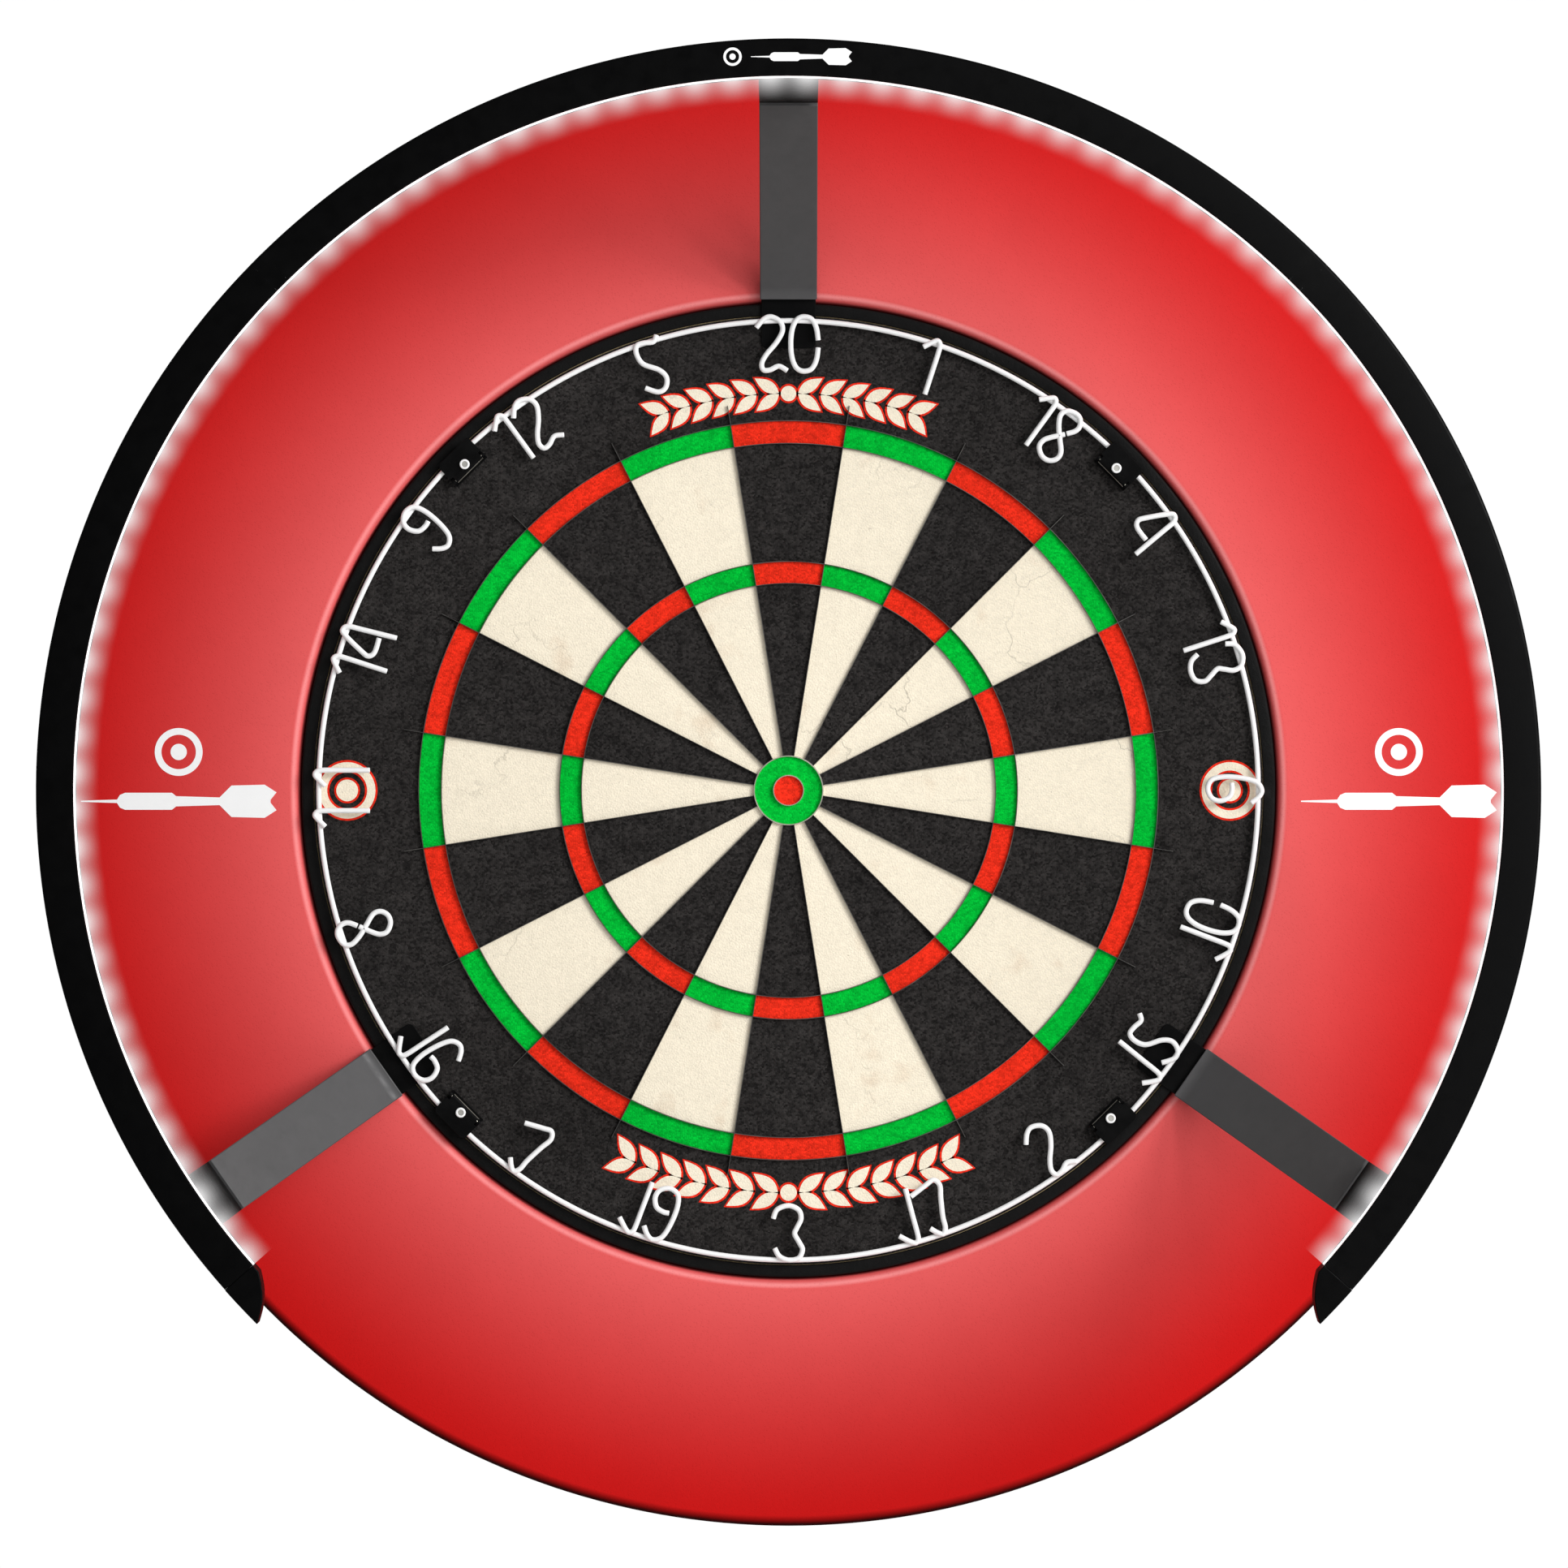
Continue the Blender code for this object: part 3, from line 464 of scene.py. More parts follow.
def coat(name, colour, roughness, metallic=0.0, tone=(25.0, 0.08), grain=(900.0, 0.04),
         wear=(0.3, (0.4, 0.4, 0.4)), dust=0.12, uneven=0.12, gloss=0.5):
    """A hard surface: paint, plastic or metal."""
    made, tree, shader = begin(name, roughness, metallic)
    shader.inputs["Specular IOR Level"].default_value = gloss
    shade = use(tree, TONE, Color=(*colour, 1), Scale=tone[0], Amount=tone[1])["Color"]
    rubbed = use(tree, WEAR, Amount=wear[0])["Mask"]
    shade = mix(tree, rubbed, shade, (*wear[1], 1))
    lying = use(tree, DUST, Amount=dust)["Mask"]
    shade = mix(tree, lying, shade, (0.42, 0.40, 0.37, 1))
    feed(tree, shader.inputs["Base Color"], shade)
    skin = use(tree, GRAIN, Scale=grain[0])
    rough = spread(tree, skin["Patch"], 0.3, 0.7, max(0.03, roughness - uneven), min(1.0, roughness + uneven))
    rough = maths(tree, "ADD", rough, maths(tree, "MULTIPLY", lying, 0.3), clamp=True)
    feed(tree, shader.inputs["Roughness"], rough)
    bump(tree, shader, skin["Height"], grain[1])
    return made


BLACK_STEEL = coat("black_steel", (0.0014, 0.0014, 0.0015), 0.5, grain=(1400.0, 0.05),
                   wear=(0.2, (0.03, 0.03, 0.03)), dust=0.008, gloss=0.06)
BRIGHT_STEEL = coat("bright_steel", (0.80, 0.76, 0.66), 0.30, 0.9, tone=(60.0, 0.06), grain=(500.0, 0.02),
                    dust=0.0)
BLADE_STEEL = coat("blade_steel", (0.15, 0.145, 0.14), 0.34, 0.9, tone=(70.0, 0.15), grain=(700.0, 0.02),
                   wear=(0.3, (0.42, 0.40, 0.36)), dust=0.0)
WHITE_WIRE = coat("white_wire", (0.98, 0.98, 0.98), 0.42, tone=(90.0, 0.02), grain=(700.0, 0.015),
                  wear=(0.05, (0.75, 0.75, 0.74)), dust=0.03, gloss=0.3)
GREY_METAL = coat("grey_metal", (0.088, 0.086, 0.088), 0.5, 0.2, tone=(14.0, 0.07), grain=(1500.0, 0.03),
                  wear=(0.25, (0.22, 0.22, 0.22)), dust=0.06, gloss=0.25)
BLACK_PLASTIC = coat("black_plastic", (0.0012, 0.0012, 0.0013), 0.45, tone=(30.0, 0.1), grain=(1100.0, 0.03),
                     wear=(0.08, (0.02, 0.02, 0.02)), dust=0.004, gloss=0.06)
# The band's lighter rubbed edges are partly wear and partly a painted highlight along its rounded outer corner.
CRINKLE = coat("crinkle_black", (0.0035, 0.0034, 0.0034), 0.62, tone=(260.0, 0.30), grain=(620.0, 0.30),
               wear=(0.5, (0.03, 0.03, 0.029)), dust=0.006, gloss=0.12)
ZINC = coat("zinc_plate", (0.62, 0.61, 0.57), 0.36, 0.9, tone=(35.0, 0.12), grain=(600.0, 0.03),
            wear=(0.3, (0.85, 0.84, 0.80)))
MAGNET = coat("nickel_magnet", (0.70, 0.69, 0.66), 0.2, 1.0, tone=(80.0, 0.05), grain=(900.0, 0.01))
RUBBER = coat("black_rubber", (0.018, 0.018, 0.018), 0.85, tone=(60.0, 0.15), grain=(1300.0, 0.08),
              dust=0.3, gloss=0.3)
CIRCUIT = coat("circuit_white", (0.82, 0.82, 0.79), 0.5, tone=(80.0, 0.04), grain=(900.0, 0.02))
WHITE_INK = coat("white_print", (0.99, 0.99, 0.99), 0.55, tone=(120.0, 0.02), grain=(1600.0, 0.02),
                 wear=(0.0, (0.9, 0.9, 0.9)), dust=0.0, gloss=0.2)
print("coated finishes:", len([m for m in bpy.data.materials if m.node_tree and len(m.node_tree.nodes) > 4]))

# %% [markdown]
# **Sisal** takes dye well but unevenly. Each printed colour uses the same fibre group: single tips are a
# shade lighter or darker, tufts drift in tone, and the height makes the face softly rough. Pressed fibre
# also shows a few hair cracks, and the cream a few tan stains and specks. There is almost no gloss.

# %% Hair cracks, and sisal in its printed colours
def build_cracks():
    tree, given, out = group("hair_cracks", [("Scale", FLOAT, 22.0), ("Width", FLOAT, 0.02)], [("Mask", FLOAT)])
    spot = add(tree, "ShaderNodeTexCoord").outputs["Object"]
    wander = add(tree, "ShaderNodeTexNoise")
    feed(tree, wander.inputs["Vector"], spot)
    wander.inputs["Scale"].default_value = 90.0
    wander.inputs["Detail"].default_value = 4.0
    moved = add(tree, "ShaderNodeVectorMath", operation="MULTIPLY_ADD")
    feed(tree, moved.inputs[0], wander.outputs["Color"])
    moved.inputs[1].default_value = (0.022, 0.022, 0.022)
    feed(tree, moved.inputs[2], spot)
    cells = add(tree, "ShaderNodeTexVoronoi", feature="DISTANCE_TO_EDGE")
    feed(tree, cells.inputs["Vector"], moved.outputs[0])
    feed(tree, cells.inputs["Scale"], given["Scale"])
    line = spread(tree, cells.outputs["Distance"], 0.0, given["Width"], 1.0, 0.0, smooth=True)
    here = spread(tree, noise(tree, spot, 16.0, 2.0), 0.52, 0.66, 0.0, 1.0)
    feed(tree, out["Mask"], maths(tree, "MULTIPLY", line, here))
    return tree


CRACKS = build_cracks()


def sisal(name, colour, contrast, relief=0.35, cracked=0.0, stained=0.0, gloss=0.08):
    """Dyed fibre ends in one printed colour."""
    made, tree, shader = begin(name, 0.92)
    ends = use(tree, FIBRE, Scale=1100.0)
    shade = use(tree, TONE, Color=(*colour, 1), Scale=14.0, Amount=contrast * 0.35)["Color"]
    lines = use(tree, CRACKS, Scale=22.0, Width=0.014)["Mask"]
    dark = [value * 0.45 for value in colour]
    shade = mix(tree, maths(tree, "MULTIPLY", lines, cracked), shade, (*dark, 1))
    spot = add(tree, "ShaderNodeTexCoord").outputs["Object"]
    stain = spread(tree, noise(tree, spot, 42.0, 4.0), 0.60, 0.74, 0.0, stained)
    shade = mix(tree, stain, shade, (0.62, 0.42, 0.27, 1))
    specks = spread(tree, noise(tree, spot, 900.0, 2.0), 0.70, 0.76, 0.0, stained)
    shade = mix(tree, specks, shade, (0.16, 0.11, 0.08, 1))
    tips = spread(tree, ends["Tip"], 0.0, 1.0, 1.0 - contrast, 1.0 + contrast)
    tufts = spread(tree, ends["Tuft"], 0.3, 0.7, 1.0 - contrast * 0.5, 1.0 + contrast * 0.5)
    scaled = add(tree, "ShaderNodeVectorMath", operation="SCALE")
    feed(tree, scaled.inputs[0], shade)
    feed(tree, scaled.inputs["Scale"], maths(tree, "MULTIPLY", tips, tufts))
    feed(tree, shader.inputs["Base Color"], scaled.outputs[0])
    feed(tree, shader.inputs["Roughness"], spread(tree, ends["Tuft"], 0.3, 0.7, 0.85, 1.0))
    shader.inputs["Specular IOR Level"].default_value = gloss
    open_cracks = maths(tree, "MULTIPLY", lines, cracked)
    bump(tree, shader, maths(tree, "SUBTRACT", ends["Height"], open_cracks), relief)
    return made


SISAL_BLACK = sisal("sisal_black", (0.0225, 0.0205, 0.0198), 0.60, cracked=0.35)
SISAL_CREAM = sisal("sisal_cream", (0.94, 0.85, 0.68), 0.05, relief=0.22, cracked=0.55, stained=0.35)
SISAL_RED = sisal("sisal_red", (0.84, 0.030, 0.012), 0.24, gloss=0.03)
SISAL_GREEN = sisal("sisal_green", (0.001, 0.49, 0.038), 0.24, gloss=0.02)
SISAL_RAW = sisal("sisal_raw", (0.46, 0.36, 0.20), 0.25)
print("sisal colours:", [m.name for m in bpy.data.materials if m.name.startswith("sisal")])

# %% [markdown]
# ** Foam.** The surround is moulded closed-cell foam with a fine skin. Light is painted into its colour:
# it is paler round the board and deepens outward, a painted highlight runs along the rounded inner lip, and
# painted shade darkens the gap at the board, the outer shoulder and the cell hollows. Nearly all of it follows
# one number, the distance from the bull. Tiny cells show in the bump.

# %% Red foam
def foam():
    """Closed-cell foam, with painted light: paler near the board, a painted highlight on the lip, painted shade
    at the edges and in the pores.
    """
    made, tree, shader = begin("red_foam", 0.75)
    spot = add(tree, "ShaderNodeTexCoord").outputs["Object"]
    axes = add(tree, "ShaderNodeSeparateXYZ")
    feed(tree, axes.inputs[0], spot)
    squares = maths(tree, "ADD", maths(tree, "MULTIPLY", axes.outputs["X"], axes.outputs["X"]),
                    maths(tree, "MULTIPLY", axes.outputs["Z"], axes.outputs["Z"]))
    radius = maths(tree, "SQRT", squares)
    # Painted light: the colour is paler near the board and deepens outward, as if lit by the ring light.
    inward = spread(tree, radius, (BOARD + 7.0) * MM, (SURROUND - 4.0) * MM, 1.0, 0.0)
    outward = maths(tree, "SUBTRACT", 1.0, maths(tree, "POWER", inward, 1.6))
    shade = mix(tree, outward, (0.80, 0.112, 0.112, 1), (0.60, 0.009, 0.009, 1))
    # Painted highlight: a pale pink line along the crest of the rounded inner lip.
    off_highlight = maths(tree, "ABSOLUTE", maths(tree, "SUBTRACT", radius, (BOARD + 3.7) * MM))
    lip = spread(tree, off_highlight, 0.0, 1.9 * MM, 1.0, 0.0, smooth=True)
    shade = mix(tree, maths(tree, "MULTIPLY", lip, 0.85), shade, (0.97, 0.30, 0.30, 1))
    # Painted shade: dark red where the foam tucks down into the gap at the board.
    gap_shade = spread(tree, radius, BOARD * MM, (BOARD + 1.9) * MM, 1.0, 0.0, smooth=True)
    shade = mix(tree, gap_shade, shade, (0.20, 0.003, 0.004, 1))
    # Painted shade: a dark line on the front of the outer shoulder, deepest to the outside.
    edge = spread(tree, radius, (SURROUND - 5.2) * MM, (SURROUND - 1.2) * MM, 0.0, 1.0)
    shoulder = spread(tree, axes.outputs["Y"], -(FACE - 5.0) * MM, -(FACE - 10.0) * MM, 1.0, 0.12)
    edge = maths(tree, "MULTIPLY", edge, shoulder)
    shade = mix(tree, edge, shade, (0.030, 0.001, 0.001, 1))
    shade = use(tree, TONE, Color=shade, Scale=12.0, Amount=0.04)["Color"]
    cells = add(tree, "ShaderNodeTexVoronoi", feature="F1")
    feed(tree, cells.inputs["Vector"], spot)
    cells.inputs["Scale"].default_value = 850.0
    pores = spread(tree, cells.outputs["Distance"], 0.0, 0.35, 0.0, 1.0)
    # Painted shade: each cell is darker in its hollow.
    pore_shade = maths(tree, "MULTIPLY", maths(tree, "SUBTRACT", 1.0, pores), 0.18)
    shade = mix(tree, pore_shade, shade, (0.36, 0.008, 0.008, 1))
    feed(tree, shader.inputs["Base Color"], shade)
    skin = use(tree, GRAIN, Scale=420.0)
    relief = maths(tree, "MULTIPLY", skin["Height"], 0.6)
    height = maths(tree, "ADD", relief, maths(tree, "MULTIPLY", pores, 0.4))
    feed(tree, shader.inputs["Roughness"], spread(tree, skin["Patch"], 0.3, 0.7, 0.62, 0.78))
    shader.inputs["Specular IOR Level"].default_value = 0.03
    bump(tree, shader, height, 0.12)
    return made


RED_FOAM = foam()
print("foam runs from", BOARD, "to", SURROUND, "mm")

# %% [markdown]
# ** Light.** The diffuser has two parts. The band closes the channel and glows evenly. The thin clear lip
# reaches in towards the board and carries a painted glow, one soft lobe of light from each diode, 3 degrees
# apart. In the lip the opacity follows a formula: it fades inward, and is weaker between two diodes. Light
# passes both faces of the lip, so each face carries only its share: one minus the square root of what shines
# through.

# %% Diffuser band and lip
DIODE_PITCH = 3.0
DIODE_START = 1.5
LIP_REACH = 10.6


def glow_band():
    """The evenly lit band of the diffuser."""
    made, tree, shader = begin("diffuser_band", 0.5)
    spot = add(tree, "ShaderNodeTexCoord").outputs["Object"]
    shade = use(tree, TONE, Color=(0.95, 0.95, 0.96, 1), Scale=60.0, Amount=0.03)["Color"]
    feed(tree, shader.inputs["Base Color"], shade)
    feed(tree, shader.inputs["Emission Color"], shade)
    shader.inputs["Emission Strength"].default_value = 0.75
    bump(tree, shader, noise(tree, spot, 900.0), 0.03)
    return made


def glow_lip():
    """The clear lip, painted with glow: a lobe of light at each diode, fading inward."""
    made, tree, shader = begin("diffuser_lip_painted_glow", 0.4)
    spot = add(tree, "ShaderNodeTexCoord").outputs["Object"]
    axes = add(tree, "ShaderNodeSeparateXYZ")
    feed(tree, axes.inputs[0], spot)
    x, z = axes.outputs["X"], axes.outputs["Z"]
    squares = maths(tree, "ADD", maths(tree, "MULTIPLY", x, x), maths(tree, "MULTIPLY", z, z))
    radius = maths(tree, "SQRT", squares)
    # Painted glow: light that fades inward from the channel, stronger at each diode.
    reach = spread(tree, radius, (LIGHT_INNER - LIP_REACH) * MM, LIGHT_INNER * MM, 0.0, 1.0)
    turn = maths(tree, "MULTIPLY", maths(tree, "ARCTAN2", z, x), 360.0 / DIODE_PITCH)
    phase = maths(tree, "SUBTRACT", turn, 2 * math.pi * DIODE_START / DIODE_PITCH)
    lobe = maths(tree, "ADD", 0.5, maths(tree, "MULTIPLY", maths(tree, "COSINE", phase), 0.5))
    peak = maths(tree, "ADD", 0.38, maths(tree, "MULTIPLY", lobe, 0.34))
    seen = maths(tree, "MULTIPLY", peak, maths(tree, "POWER", reach, 1.8), clamp=True)
    through = maths(tree, "SQRT", maths(tree, "SUBTRACT", 1.0, seen))
    feed(tree, shader.inputs["Alpha"], maths(tree, "SUBTRACT", 1.0, through, clamp=True))
    shade = use(tree, TONE, Color=(0.99, 0.98, 0.98, 1), Scale=60.0, Amount=0.01)["Color"]
    shader.inputs["Base Color"].default_value = (0.02, 0.02, 0.02, 1.0)
    feed(tree, shader.inputs["Emission Color"], shade)
    shader.inputs["Emission Strength"].default_value = 1.0
    shader.inputs["Specular IOR Level"].default_value = 0.05
    return made


GLOW_BAND = glow_band()
PAINTED_LIP_GLOW = glow_lip()
print("diodes in three quarters of a turn:", round(270 / DIODE_PITCH))

# %% [markdown]
# **Chipboard** backs the sisal. Pressed chips lie flat in all directions, so stretched cells in two scales
# give the flakes, with a warm drift in colour and a shallow relief.

# %% Chipboard
def chipboard():
    """Pressed wood chips."""
    made, tree, shader = begin("chipboard", 0.8)
    spot = add(tree, "ShaderNodeTexCoord").outputs["Object"]
    cells = add(tree, "ShaderNodeTexVoronoi", feature="F1", distance="CHEBYCHEV")
    feed(tree, cells.inputs["Vector"], spot)
    cells.inputs["Scale"].default_value = 260.0
    flakes = add(tree, "ShaderNodeSeparateColor")
    feed(tree, flakes.inputs[0], cells.outputs["Color"])
    shade = mix(tree, flakes.outputs[0], (0.34, 0.22, 0.11, 1), (0.56, 0.42, 0.26, 1))
    dark = spread(tree, noise(tree, spot, 380.0, 5.0), 0.58, 0.72, 0.0, 0.6)
    shade = mix(tree, dark, shade, (0.16, 0.09, 0.045, 1))
    shade = use(tree, TONE, Color=shade, Scale=10.0, Amount=0.1)["Color"]
    feed(tree, shader.inputs["Base Color"], shade)
    feed(tree, shader.inputs["Roughness"], spread(tree, flakes.outputs[1], 0.0, 1.0, 0.65, 0.9))
    bump(tree, shader, maths(tree, "ADD", flakes.outputs[2], noise(tree, spot, 900.0)), 0.25)
    return made


CHIPBOARD = chipboard()
print("made", CHIPBOARD.name)

# %% [markdown]
# ## The sisal disc
# The disc is one turned solid. Its face is cut into a grid of rings and sectors, so each printed field is
# made of whole faces with its own finish, and the border between two colours is exact. A regulation board
# alternates black and cream, with red and green in the two narrow rings and in the bull.

# %% Sisal disc with its printed fields
BULL, OUTER_BULL = 6.9, 15.8
TREBLE, DOUBLE = (95.2, 105.3), (159.6, 170.0)
FIELDS = [SISAL_BLACK, SISAL_CREAM, SISAL_RED, SISAL_GREEN, SISAL_RAW]
BLACK, CREAM, RED, GREEN, RAW = range(5)
SISAL_EDGE = BOARD - 5.9


def field_at(radius, degrees):
    """The printed colour at a place on the face."""
    if radius > DOUBLE[1]:
        return BLACK
    if radius < BULL:
        return RED
    if radius < OUTER_BULL:
        return GREEN
    dark = int(((degrees - 81) % 360) // 18) % 2 == 0
    if TREBLE[0] < radius < TREBLE[1] or DOUBLE[0] < radius < DOUBLE[1]:
        return RED if dark else GREEN
    return BLACK if dark else CREAM


def make_sisal():
    back = back_of("sisal_disc")
    outer = BOARD - 1.6
    outline = [(0.0, back), (outer, back), (outer, FACE - 1.6), (SISAL_EDGE, FACE - 1.6)]
    outline += [(SISAL_EDGE, FACE - 0.5), (SISAL_EDGE - 0.5, FACE)]
    borders = (DOUBLE[1], DOUBLE[0], TREBLE[1], TREBLE[0], OUTER_BULL, BULL, 0.0)
    outline += [(radius, FACE) for radius in borders]
    work = turned(outline, 240)
    for face in work.faces:
        centre = face.calc_center_median() / MM
        if -centre.y < FACE - 0.6:
            face.material_index = RAW
            continue
        degrees = math.degrees(math.atan2(centre.z, centre.x))
        face.material_index = field_at(math.hypot(centre.x, centre.z), degrees)
    piece = put("sisal_face", work, "board", FIELDS, ["sisal_disc"])
    print("sisal faces:", len(piece.data.polygons))


make_sisal()

# %% [markdown]
# ## Backing and rim band
# Behind the sisal is a chipboard disc with a hole for the hanging screw. A steel band wraps both, rolled
# over at the front and the back, so its lips grip the fibre.

# %% Backing board and rim band
def make_backing():
    back, front = back_of("backing_board"), front_of("backing_board")
    outer = BOARD - 1.6
    outline = [(3.0, back + 0.3), (3.4, back), (outer - 0.8, back), (outer, back + 0.8)]
    outline += [(outer, front), (3.0, front)]
    put("backing", turned(outline, 160), "board", CHIPBOARD, ["backing_board"])


def make_band():
    back = back_of("rim_band")
    inner, lip = BOARD - 1.2, BOARD - 5.5
    outline = [(BOARD, back + 1.2)]
    outline += arc((BOARD - 1.2, FACE - 1.2), 1.2, 0, 90, 5)
    outline += arc((lip + 0.4, FACE - 0.4), 0.4, 90, 180, 3)
    outline += [(lip, FACE - 1.2), (inner, FACE - 1.2), (inner, back + 1.2), (lip, back + 1.2)]
    outline.append((lip, back + 0.4))
    outline += arc((lip + 0.4, back + 0.4), 0.4, 180, 270, 2)[1:]
    outline += arc((BOARD - 1.2, back + 1.2), 1.2, 270, 360, 5)[:-1]
    put("band", turned(outline, 288), "board", CRINKLE, ["rim_band"])


make_backing()
make_band()
print(f"band lip from {BOARD - 5.5:.1f} to {BOARD:.1f} mm")

# %% [markdown]
# ## The wire web
# Thin steel blades mark every border. They stand on edge, so from the front they are narrow, and their tops
# catch the light. The rings are turned, and the twenty radial blades are slabs that taper towards the top.

# %% Blades
def blade(width, top):
    """A blade's section as (sideways, depth) points, from the sisal up."""
    return [(-width / 2, FACE - 0.4), (width / 2, FACE - 0.4), (width / 2, FACE + 0.5), (width * 0.2, top),
            (-width * 0.2, top), (-width / 2, FACE + 0.5)]


def make_web():
    top = front_of("wire_web")
    work = bmesh.new()
    turned([(OUTER_BULL + side, depth) for side, depth in blade(0.9, top)], 120, work=work)
    for face in work.faces:
        face.material_index = 1
    for radius in (*TREBLE, *DOUBLE):
        turned([(radius + side, depth) for side, depth in blade(0.5, top)], 240, work=work)
    for sector in range(20):
        ends = []
        for radius in (OUTER_BULL + 0.3, 179.0):
            matrix = turned_to(9 + 18 * sector)
            spots = [Vector((radius, -depth, side)) for side, depth in blade(0.42, top)]
            ends.append([work.verts.new(matrix @ (spot * MM)) for spot in spots])
        work.faces.new(ends[0])
        work.faces.new(ends[1])
        for k in range(6):
            after = (k + 1) % 6
            work.faces.new((ends[0][k], ends[0][after], ends[1][after], ends[1][k]))
    put("blade_web", work, "board", [BLADE_STEEL, BRIGHT_STEEL], ["wire_web"])
    ring = [(BULL + side, depth) for side, depth in blade(0.8, top)]
    put("bull_ring", turned(ring, 72), "board", BRIGHT_STEEL, ["inner_bull_ring"])


make_web()
print("five rings, twenty radial blades and the inner bull ring")

# %% [markdown]
# ## The number ring
# One hoop of white coated wire carries all the numbers. Each digit is bent from the same wire and welded in
# front of the hoop, so it needs only the bends a wire bender would make. Numbers in the lower half are
# turned to read from below, and their feet hook over the hoop.

# %% Digits as bent wire
RING_RADIUS = 215.8
RING_WIRE = 1.2
DIGIT_HEIGHT = 25.0
SIX = [(6.3, 20.1), (3.5, 23.6), (0.5, 24.8), (-3.0, 22.5), (-4.9, 16.3), (-5.6, 8.0), (-4.2, 1.9),
       (0.0, 0.0), (4.2, 1.9), (5.5, 5.8), (3.6, 10.0), (0.0, 11.2), (-2.6, 11.0)]
DIGITS = {
    "0": [(6.3 * math.copysign(abs(math.cos(t)) ** 0.8, math.cos(t)),
           12.5 + 12.5 * math.copysign(abs(math.sin(t)) ** 0.9, math.sin(t)))
          for t in (math.radians(7 + 346 * k / 16) for k in range(17))],
    "1": [(-7.2, 20.4), (-4.2, 23.4), (-2.0, 25.0), (-0.3, 23.6), (0.0, 20.5), (0.0, 10.0), (0.0, 0.0)],
    "2": [(-6.6, 20.1), (-3.4, 23.8), (0.0, 25.0), (4.2, 22.8), (5.3, 18.6), (2.5, 13.2), (-2.0, 7.8),
          (-4.2, 3.6), (-3.4, 0.6), (-0.3, 0.6), (3.6, 2.3), (7.4, 0.3)],
    "3": [(-7.0, 19.2), (-5.2, 23.2), (0.0, 25.0), (4.6, 23.0), (5.7, 19.0), (3.8, 14.8), (2.8, 12.0),
          (4.9, 8.1), (6.4, 4.8), (4.6, 0.9), (0.0, 0.0), (-4.2, 1.7), (-6.3, 5.3)],
    "4": [(5.9, 0.4), (4.8, 16.2), (4.2, 23.0), (2.2, 25.0), (0.0, 23.4), (-5.0, 13.4), (-5.9, 10.0),
          (-3.4, 7.9), (3.2, 7.9)],
    "5": [(6.8, 25.0), (4.6, 22.6), (0.3, 23.4), (-3.2, 23.2), (-4.5, 19.5), (-3.0, 14.3), (3.0, 9.6),
          (5.3, 5.2), (3.5, 0.9), (-0.4, 0.0), (-5.3, 3.4)],
    "6": SIX,
    "7": [(-7.4, 21.0), (0.7, 23.9), (4.6, 25.0), (6.6, 21.8), (5.2, 16.0), (3.5, 7.6), (3.1, 2.7),
          (1.4, 0.0), (-1.0, 1.3), (-3.5, 4.1)],
    "8": [(2.2, 15.2), (4.6, 18.4), (4.9, 21.4), (3.0, 24.2), (0.0, 25.0), (-4.0, 23.6), (-5.2, 20.2),
          (-2.8, 15.6), (1.0, 11.2), (4.9, 6.6), (5.1, 2.9), (2.4, 0.2), (-1.4, 0.2), (-4.7, 2.9),
          (-4.8, 6.4), (-2.7, 9.6), (1.4, 14.2)],
    "9": [(-x, DIGIT_HEIGHT - y) for x, y in SIX],
    "J": [(1.1, 25.0), (0.4, 12.0), (0.0, 3.5), (-0.6, 0.9), (-2.3, 0.0), (-4.4, 1.4), (-8.2, 5.2)],
}
NUMBERS = (20, 1, 18, 4, 13, 6, 10, 15, 2, 17, 3, 19, 7, 16, 8, 11, 14, 9, 12, 5)
READ_FROM_BELOW = (10, 15, 2, 17, 3, 19, 7, 16)
WIDE_PAIRS = {20: 7.7, 11: 9.3}
ASIDE = {1: 3.3, 2: -0.7, 6: -0.7, 7: -0.7, 17: -1.6, 20: -0.4}
UPRIGHT_REACH, LOW_REACH = 217.5, 215.7


def digit_path(digit, offset, degrees, below, depth):
    """A digit's centre line, placed on the board."""
    turn = math.radians(degrees)
    outward = Vector((math.cos(turn), 0.0, math.sin(turn)))
    clockwise = Vector((math.sin(turn), 0.0, -math.cos(turn)))
    path = []
    for spot in smooth_path([(x, y, 0.0) for x, y in DIGITS[digit]], 6):
        across, up = spot.x + offset, spot.y
        radius = LOW_REACH - up if below else UPRIGHT_REACH - DIGIT_HEIGHT + up
        flat = outward * radius + clockwise * (-across if below else across)
        path.append(Vector((flat.x, -depth, flat.z)) * MM)
    return path


def make_number_ring():
    digit_depth = front_of("number_ring") - RING_WIRE
    hoop_depth = back_of("number_ring") + RING_WIRE
    work = bmesh.new()
    hoop = [place(RING_RADIUS, 360 * k / 300, hoop_depth) for k in range(300)]
    wire(work, hoop, RING_WIRE, 16, closed=True)
    for index, number in enumerate(NUMBERS):
        below = number in READ_FROM_BELOW
        text = str(number)
        shift, aside = WIDE_PAIRS.get(number, 5.0), ASIDE.get(number, 0.0)
        offsets = (aside - shift, aside + shift) if len(text) == 2 else (aside,)
        for digit, offset in zip(text, offsets):
            shape = "J" if below and digit == "1" else digit
            wire(work, digit_path(shape, offset, 90 - 18 * index, below, digit_depth), RING_WIRE, 14)
    piece = put("numeral_ring", work, "number_ring", WHITE_WIRE, ["number_ring"], sharp=60)
    print("number ring:", len(piece.data.polygons), "faces")


make_number_ring()

